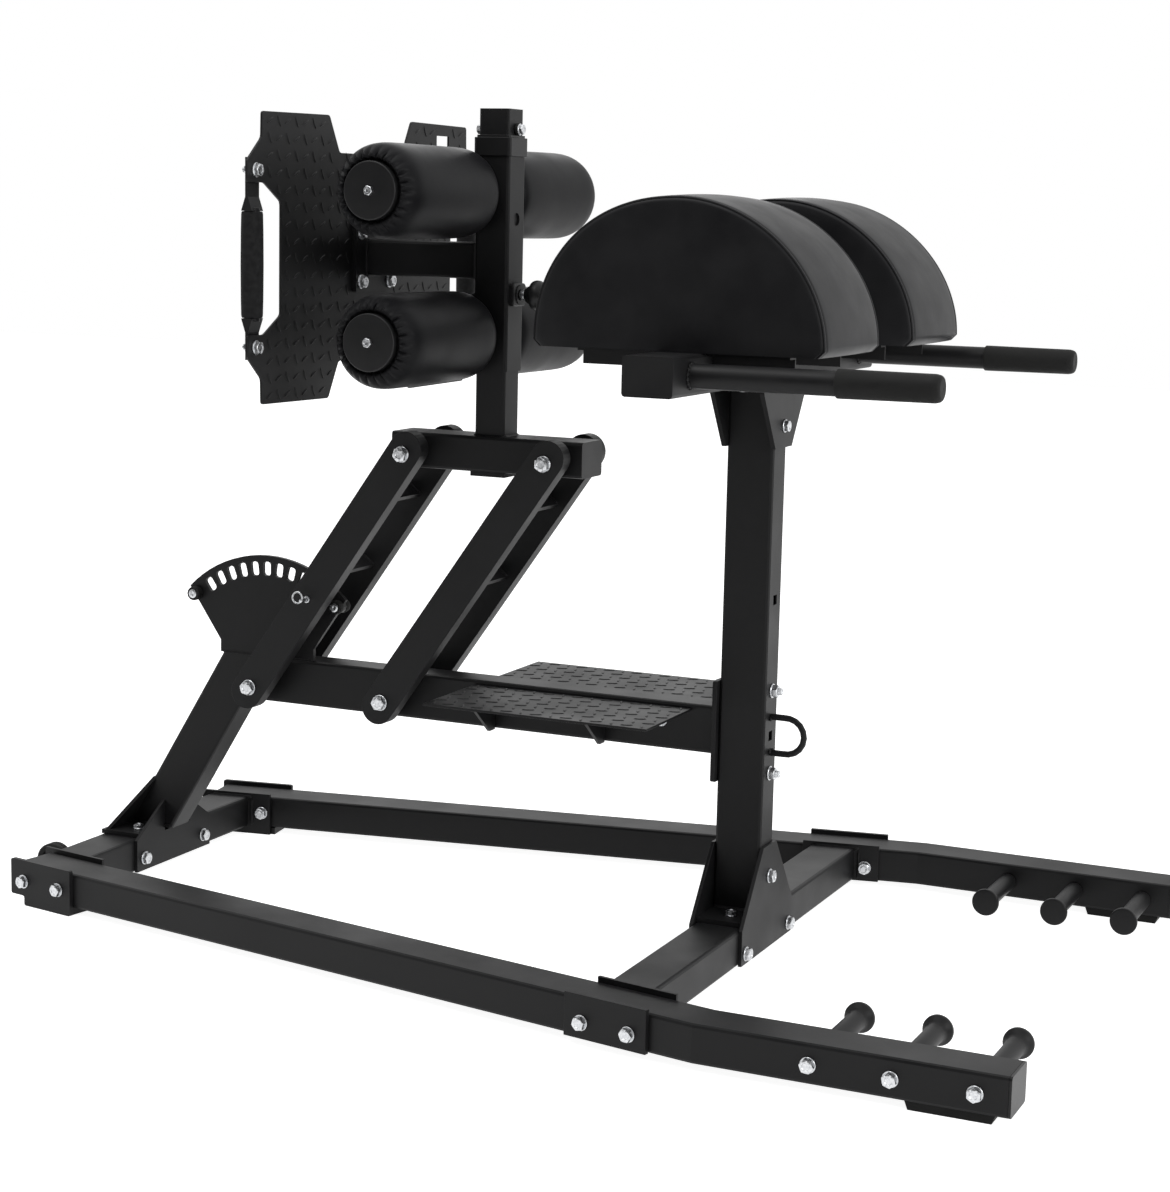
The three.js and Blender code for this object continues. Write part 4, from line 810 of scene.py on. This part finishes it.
knob_low, knob_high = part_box("height_pin")
pin_z = (knob_low.z + knob_high.z) / 2
knob_radius, neck_radius, knob_long, neck_start = 0.025, 0.009, 0.035, 0.0147
knob_end = knob_high.x - knob_low.x
knob_start = knob_end - knob_long
knob_outline = [(0, knob_start + 0.001), (neck_radius + 0.001, knob_start),
                (0.0125, knob_start + 0.003), (0.0165, knob_start + 0.010),
                (0.0235, knob_start + 0.015), (knob_radius, knob_start + 0.020),
                (knob_radius - 0.0005, knob_start + 0.027), (knob_radius - 0.006, knob_end),
                (0.012, knob_end), (0, knob_end - 0.001)]
knob = bmesh.new()
turned(knob, rounded(knob_outline, 0.006, 5), facing((knob_low.x, 0, pin_z), (1, 0, 0)), 56)
made = piece("height_pin_knob", knob, plastic, "height_pin")
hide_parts("height_pin")
neck = bmesh.new()
turned(neck, rounded([(0, 0), (pin_radius, 0), (pin_radius, neck_start), (neck_radius, neck_start),
                      (neck_radius, knob_start + 0.001), (0, knob_start + 0.001)], 0.0008, 2),
       facing((knob_low.x, 0, pin_z), (1, 0, 0)), 32)
piece("height_pin_neck", neck, zinc, "height_pin")
collar = bmesh.new()
collar_half_y, collar_half_z, collar_hole, collar_sides = 0.024, 0.019, 0.0162, 48
collar_thick, collar_gap, collar_edge, collar_squareness = 0.0085, 0.0002, 0.0015, 0.32
rings = []
for along, inset in ((collar_gap, 0), (collar_thick - collar_edge, 0), (collar_thick, collar_edge)):
    outline = []
    for i in range(collar_sides):
        a = 2 * math.pi * i / collar_sides
        c, d = math.cos(a), math.sin(a)
        out_y = math.copysign(abs(c) ** collar_squareness, c) * (collar_half_y - inset)
        out_z = math.copysign(abs(d) ** collar_squareness, d) * (collar_half_z - inset)
        outline.append(Vector((sleeve_front_x + along, out_y, pin_z + out_z)))
    rings.append(outline)
for along in (collar_thick, collar_gap):
    rings.append([Vector((sleeve_front_x + along, collar_hole * math.cos(a),
                          pin_z + collar_hole * math.sin(a)))
                  for a in np.linspace(0, 2 * math.pi, collar_sides, endpoint=False)])
ring_join(collar, rings, closed_along=True)
piece("height_pin_collar", collar, plastic, "slider")


# Rollers: foam on plastic cores that turn on a bright axle, in a vinyl tube gathered into
# pleats over the outer end and held by a flat end disc with a bolt in its middle.

roller_vinyl = vinyl_finish("roller_vinyl", 0.07)
disc_radius, pleat_count, pleat_deep, pleat_reach = 0.0457, 26, 0.0042, 0.0690
inner_y, roller_long, axle_radius = 0.042, 0.316, 0.0125
pleat_start_band, pleat_steps = 0.009, 12
disc_start, end_bolt_across, end_bolt_from, end_bolt_to = 0.300, 0.0135, 0.3150, 0.3215
# The cover's radius at each place along it, from its inner end to the edge of the end disc
cover_profile = [(0.0135, 0.001), (0.030, 0.0), (0.050, 0.0006), (0.0610, 0.0024), (0.0672, 0.0058),
                 (0.0710, 0.0110), (0.0728, 0.0180), (0.0736, 0.0280), (0.0741, 0.0500), (0.0745, 0.0900),
                 (0.0748, 0.1400), (0.0751, 0.1900), (0.0752, 0.2350), (0.0751, 0.2560), (0.0747, 0.2680),
                 (0.0737, 0.2780), (0.0722, 0.2850), (0.0700, 0.2910), (0.0676, 0.2960), (0.0650, 0.3005),
                 (0.0626, 0.3042), (0.0602, 0.3074), (0.0576, 0.3098), (0.0552, 0.3110), (0.0530, 0.3106),
                 (0.0512, 0.3086), (0.0500, 0.3050), (0.0490, 0.3000)]
for level in ("upper", "lower"):
    axle_low, axle_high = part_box(f"{level}_roller_axle")
    axis = (axle_low + axle_high) / 2
    axle = bmesh.new()
    axle_half = (axle_high.y - axle_low.y) / 2
    rod = [(0, -axle_half), (axle_radius, -axle_half), (axle_radius, axle_half), (0, axle_half)]
    turned(axle, rounded(rod, 0.001, 2), facing(axis, (0, 1, 0)), 40)
    made = piece(f"{level}_axle", axle, zinc, "slider")
    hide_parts(f"{level}_roller_axle")
    for side, hand in ((-1, "right"), (1, "left")):
        place = facing((axis.x, side * inner_y, axis.z), (0, side, 0))
        sides = pleat_count * pleat_steps
        rings = []
        for radius, along in cover_profile:
            gather = max(0.0, min(1.0, (pleat_reach - radius) / pleat_start_band))
            if along < roller_long / 2:
                gather = 0.0
            ring = []
            for i in range(sides):
                a = 2 * math.pi * i / sides
                c, d = math.cos(a), math.sin(a)
                wander = 0.35 * noise.noise(Vector((c * 2.1, d * 2.1, axis.z * 9 + side)))
                phase = pleat_count * a + wander * 3
                fold = 1 - abs(math.sin(phase / 2)) ** 0.8
                deep = pleat_deep * (0.75 + 0.9 * noise.noise(Vector((c * 3, d * 3, axis.z * 5))))
                r = radius - gather * fold * deep
                y = along - gather * fold * deep * 1.2
                ring.append(place @ Vector((r * c, r * d, y)))
            rings.append(ring)
        cover = bmesh.new()
        rows = ring_join(cover, rings)
        cover.faces.new(rows[-1])
        cover.faces.new(reversed(rows[0]))
        body = f"{hand}_{level}_roller"
        made = piece(f"{hand}_{level}_cover", cover, roller_vinyl, body, crease=60)
        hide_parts(f"{hand}_{level}_roller")
        disc = bmesh.new()
        turned(disc, rounded([(0, disc_start), (disc_radius + 0.0028, disc_start),
                              (disc_radius, disc_start + 0.003), (disc_radius, roller_long - 0.0012),
                              (disc_radius - 0.0016, roller_long), (0, roller_long - 0.0004)], 0.0012, 3),
               place, 64)
        piece(f"{hand}_{level}_disc", disc, plastic, body)
        end_bolt = bmesh.new()
        hexagon(end_bolt, place @ Matrix.Rotation(0.3, 4, "Z"), end_bolt_across, end_bolt_from, end_bolt_to)
        piece(f"{hand}_{level}_end_bolt", end_bolt, zinc, body)


# Foot plate: tread plate behind the rollers with a wing on each side, notched for the hands.

coated(powder_coat, "foot_plate")
plate_low, plate_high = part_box("foot_plate")
plate_face = plate_high.x
plate_middle_z = (plate_low.z + plate_high.z) / 2
plate_half_wide, plate_half_high = plate_high.y, (plate_high.z - plate_low.z) / 2
plate_outline = [(0.272, 0.74), (0.358, 1), (0.888, 0.99), (0.891, 0.815), (1, 0.657), (1, 0.513),
                 (0.873, 0.513), (0.744, 0.386)]
half_outline = [(y * plate_half_wide, z * plate_half_high) for y, z in plate_outline]
half_outline += [(y, -z) for y, z in reversed(half_outline)]
edge_room, flange_room_y, flange_room_z = 0.012, 0.075, 0.070
slot_y, slot_z, slot_room = 0.258, 0.189, 0.036
ear_y, ear_z, ear_room = 0.368, 0.139, 0.030


def on_plate(y, z):
    """Whether a lozenge at that place lies well inside the foot plate and off its flange."""
    y = abs(y)
    if y < flange_room_y and abs(z) < flange_room_z:
        return False
    polygon = half_outline + [(-0.05, -0.74 * plate_half_high), (-0.05, 0.74 * plate_half_high)]
    inside = False
    for (y0, z0), (y1, z1) in zip(polygon, polygon[1:] + polygon[:1]):
        if (z0 > z) != (z1 > z) and y < (y1 - y0) * (z - z0) / (z1 - z0) + y0:
            inside = not inside
        edge = Vector((y1 - y0, z1 - z0))
        t = max(0, min(1, (Vector((y - y0, z - z0)).dot(edge)) / edge.length_squared))
        if (Vector((y0, z0)) + edge * t - Vector((y, z))).length < edge_room and y0 > -0.04 and y1 > -0.04:
            return False
    return inside


centres = []
plate_pitch = 0.0272
for i in range(-15, 16):
    for j in range(-9, 10):
        y, z = i * plate_pitch, j * plate_pitch
        in_slot = abs(y - slot_y) < slot_room and abs(z - slot_z) < slot_room
        near_ear = abs(abs(y) - ear_y) < ear_room and abs(abs(z) - ear_z) < ear_room
        if on_plate(y, z) and not in_slot and not near_ear:
            centres.append(((plate_face, y, plate_middle_z + z), (i + j) % 2))
plate_tread = bmesh.new()
tread(plate_tread, centres, (1, 0, 0), (0, 0.5, -1), (0, 1, 0.5))
piece("foot_plate_tread", plate_tread, powder_coat, "slider")


# Side handles: bent round tube with flattened ends bolted behind the plate's ears, under a
# closed-cell foam sleeve.

def foam_finish():
    material, tree, shader = finish_start("black_foam", 0.85, specular=0.2)
    cells = tree.nodes.new("ShaderNodeTexVoronoi")
    place = tree.nodes.new("ShaderNodeTexCoord")
    cells.inputs["Scale"].default_value = 1 / 0.0011
    tree.links.new(place.outputs["Object"], cells.inputs["Vector"])
    mottle = speckle(tree, 0.01, detail=4)
    tree.links.new(shades(tree, mottle, (0.010, 0.010, 0.0105), (0.017, 0.017, 0.0175)),
                   shader.inputs["Base Color"])
    tree.links.new(between(tree, speckle(tree, 0.006), 0.78, 0.92), shader.inputs["Roughness"])
    tree.links.new(relief(tree, cells.outputs["Distance"], 0.0002, 0.5), shader.inputs["Normal"])
    return material


foam = foam_finish()
for side, hand in ((-1, "right"), (1, "left")):
    coated(powder_coat, f"{hand}_side_handle")
    low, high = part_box(f"{hand}_side_grip")
    middle = (low + high) / 2
    half = (high.z - low.z) / 2
    outline = rounded([(0.0128, -half), (0.0162, -half), (0.0172, -half + 0.004), (0.0178, -half + 0.03),
                       (0.0182, 0), (0.0178, half - 0.03), (0.0172, half - 0.004), (0.0162, half),
                       (0.0128, half)], 0.002, 3)
    sleeve_form = bmesh.new()
    turned(sleeve_form, outline, facing(middle, (0, 0, 1)), 40, closed=True)
    made = piece(f"{hand}_foam_grip", sleeve_form, foam, "slider")
    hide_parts(f"{hand}_side_grip")
    bolts = bmesh.new()
    for way in (-1, 1):
        z = plate_middle_z + way * ear_z
        hex_bolt(bolts, (plate_face, side * ear_y, z), (1, 0, 0), 0.95)
        hex_nut(bolts, (plate_face - 0.0095, side * ear_y, z), (-1, 0, 0), 0.75)
    piece(f"{hand}_handle_bolts", bolts, zinc, "slider")


# Floor, backdrop and light: a plain white sweep under soft studio lamps.

def seen_as(tree, lit, seen, *kinds):
    """A level that is seen for the named kinds of ray and lit for all the rest."""
    rays = tree.nodes.new("ShaderNodeLightPath")
    found = rays.outputs[kinds[0]]
    for kind in kinds[1:]:
        larger = tree.nodes.new("ShaderNodeMath")
        larger.operation = "MAXIMUM"
        tree.links.new(found, larger.inputs[0])
        tree.links.new(rays.outputs[kind], larger.inputs[1])
        found = larger.outputs["Value"]
    return between(tree, found, lit, seen, 0, 1)


def white_sweep():
    material, tree, shader = finish_start("white_sweep", 0.9, specular=0.1)
    shader.inputs["Base Color"].default_value = (0.82, 0.82, 0.82, 1)
    shader.inputs["Emission Color"].default_value = (1, 1, 1, 1)
    tree.links.new(seen_as(tree, 0, 0.92, "Is Camera Ray", "Is Glossy Ray"),
                   shader.inputs["Emission Strength"])
    return material


def sheet(name, corners, material):
    """One flat sheet of the studio."""
    mesh = bpy.data.meshes.new(name)
    mesh.from_pydata(corners, [], [(0, 1, 2, 3)])
    mesh.materials.append(material)
    made = bpy.data.objects.new(name, mesh)
    scene.collection.objects.link(made)
    return made


floor_half = 14
floor = sheet("floor", [(-floor_half, -floor_half, 0), (floor_half, -floor_half, 0),
                        (floor_half, floor_half, 0), (-floor_half, floor_half, 0)], white_sweep())


def softbox(name, place, aim, wide, tall, watts):
    lamp = bpy.data.lights.new(name, "AREA")
    lamp.shape = "RECTANGLE"
    lamp.size, lamp.size_y, lamp.energy = wide, tall, watts
    made = bpy.data.objects.new(name, lamp)
    scene.collection.objects.link(made)
    made.location = place
    made.rotation_euler = (Vector(place) - Vector(aim)).to_track_quat("Z", "Y").to_euler()
    made.visible_camera = False


middle = (0, 0, 0.7)
softbox("rear_left_softbox", (-2.4, 4.6, 3.0), middle, 2.6, 2.2, 20)
softbox("rear_right_softbox", (3.6, 4.2, 2.2), middle, 2.6, 2.6, 6)
softbox("top_softbox", (0.2, 0.6, 4.2), middle, 3.2, 3.2, 10)
softbox("overhead_strip", (-0.7, -1.1, 3.6), middle, 2.6, 0.7, 30)
softbox("front_softbox", (4.6, -1.4, 2.0), middle, 1.8, 1.8, 70)

# A black flag stands behind the camera, so that the near side faces of the machine stay dark.
flag_y, flag_left, flag_right, flag_low, flag_high = -6.5, -7, 5, 0.02, 5
flag_cloth, _, flag_shader = finish_start("flag_cloth", 0.9, specular=0.1)
flag_shader.inputs["Base Color"].default_value = (0.02, 0.02, 0.02, 1)
flag = sheet("flag", [(flag_left, flag_y, flag_low), (flag_right, flag_y, flag_low),
                      (flag_right, flag_y, flag_high), (flag_left, flag_y, flag_high)], flag_cloth)
flag.visible_camera = False

world = bpy.data.worlds.new("studio")
scene.world = world
world.use_nodes = True
sky = world.node_tree.nodes["Background"]
sky.inputs["Color"].default_value = (1, 1, 1, 1)
sky_level = seen_as(world.node_tree, 0.5, 1.0, "Is Camera Ray", "Is Glossy Ray", "Is Transmission Ray")
world.node_tree.links.new(sky_level, sky.inputs["Strength"])
scene.view_settings.view_transform = "Standard"
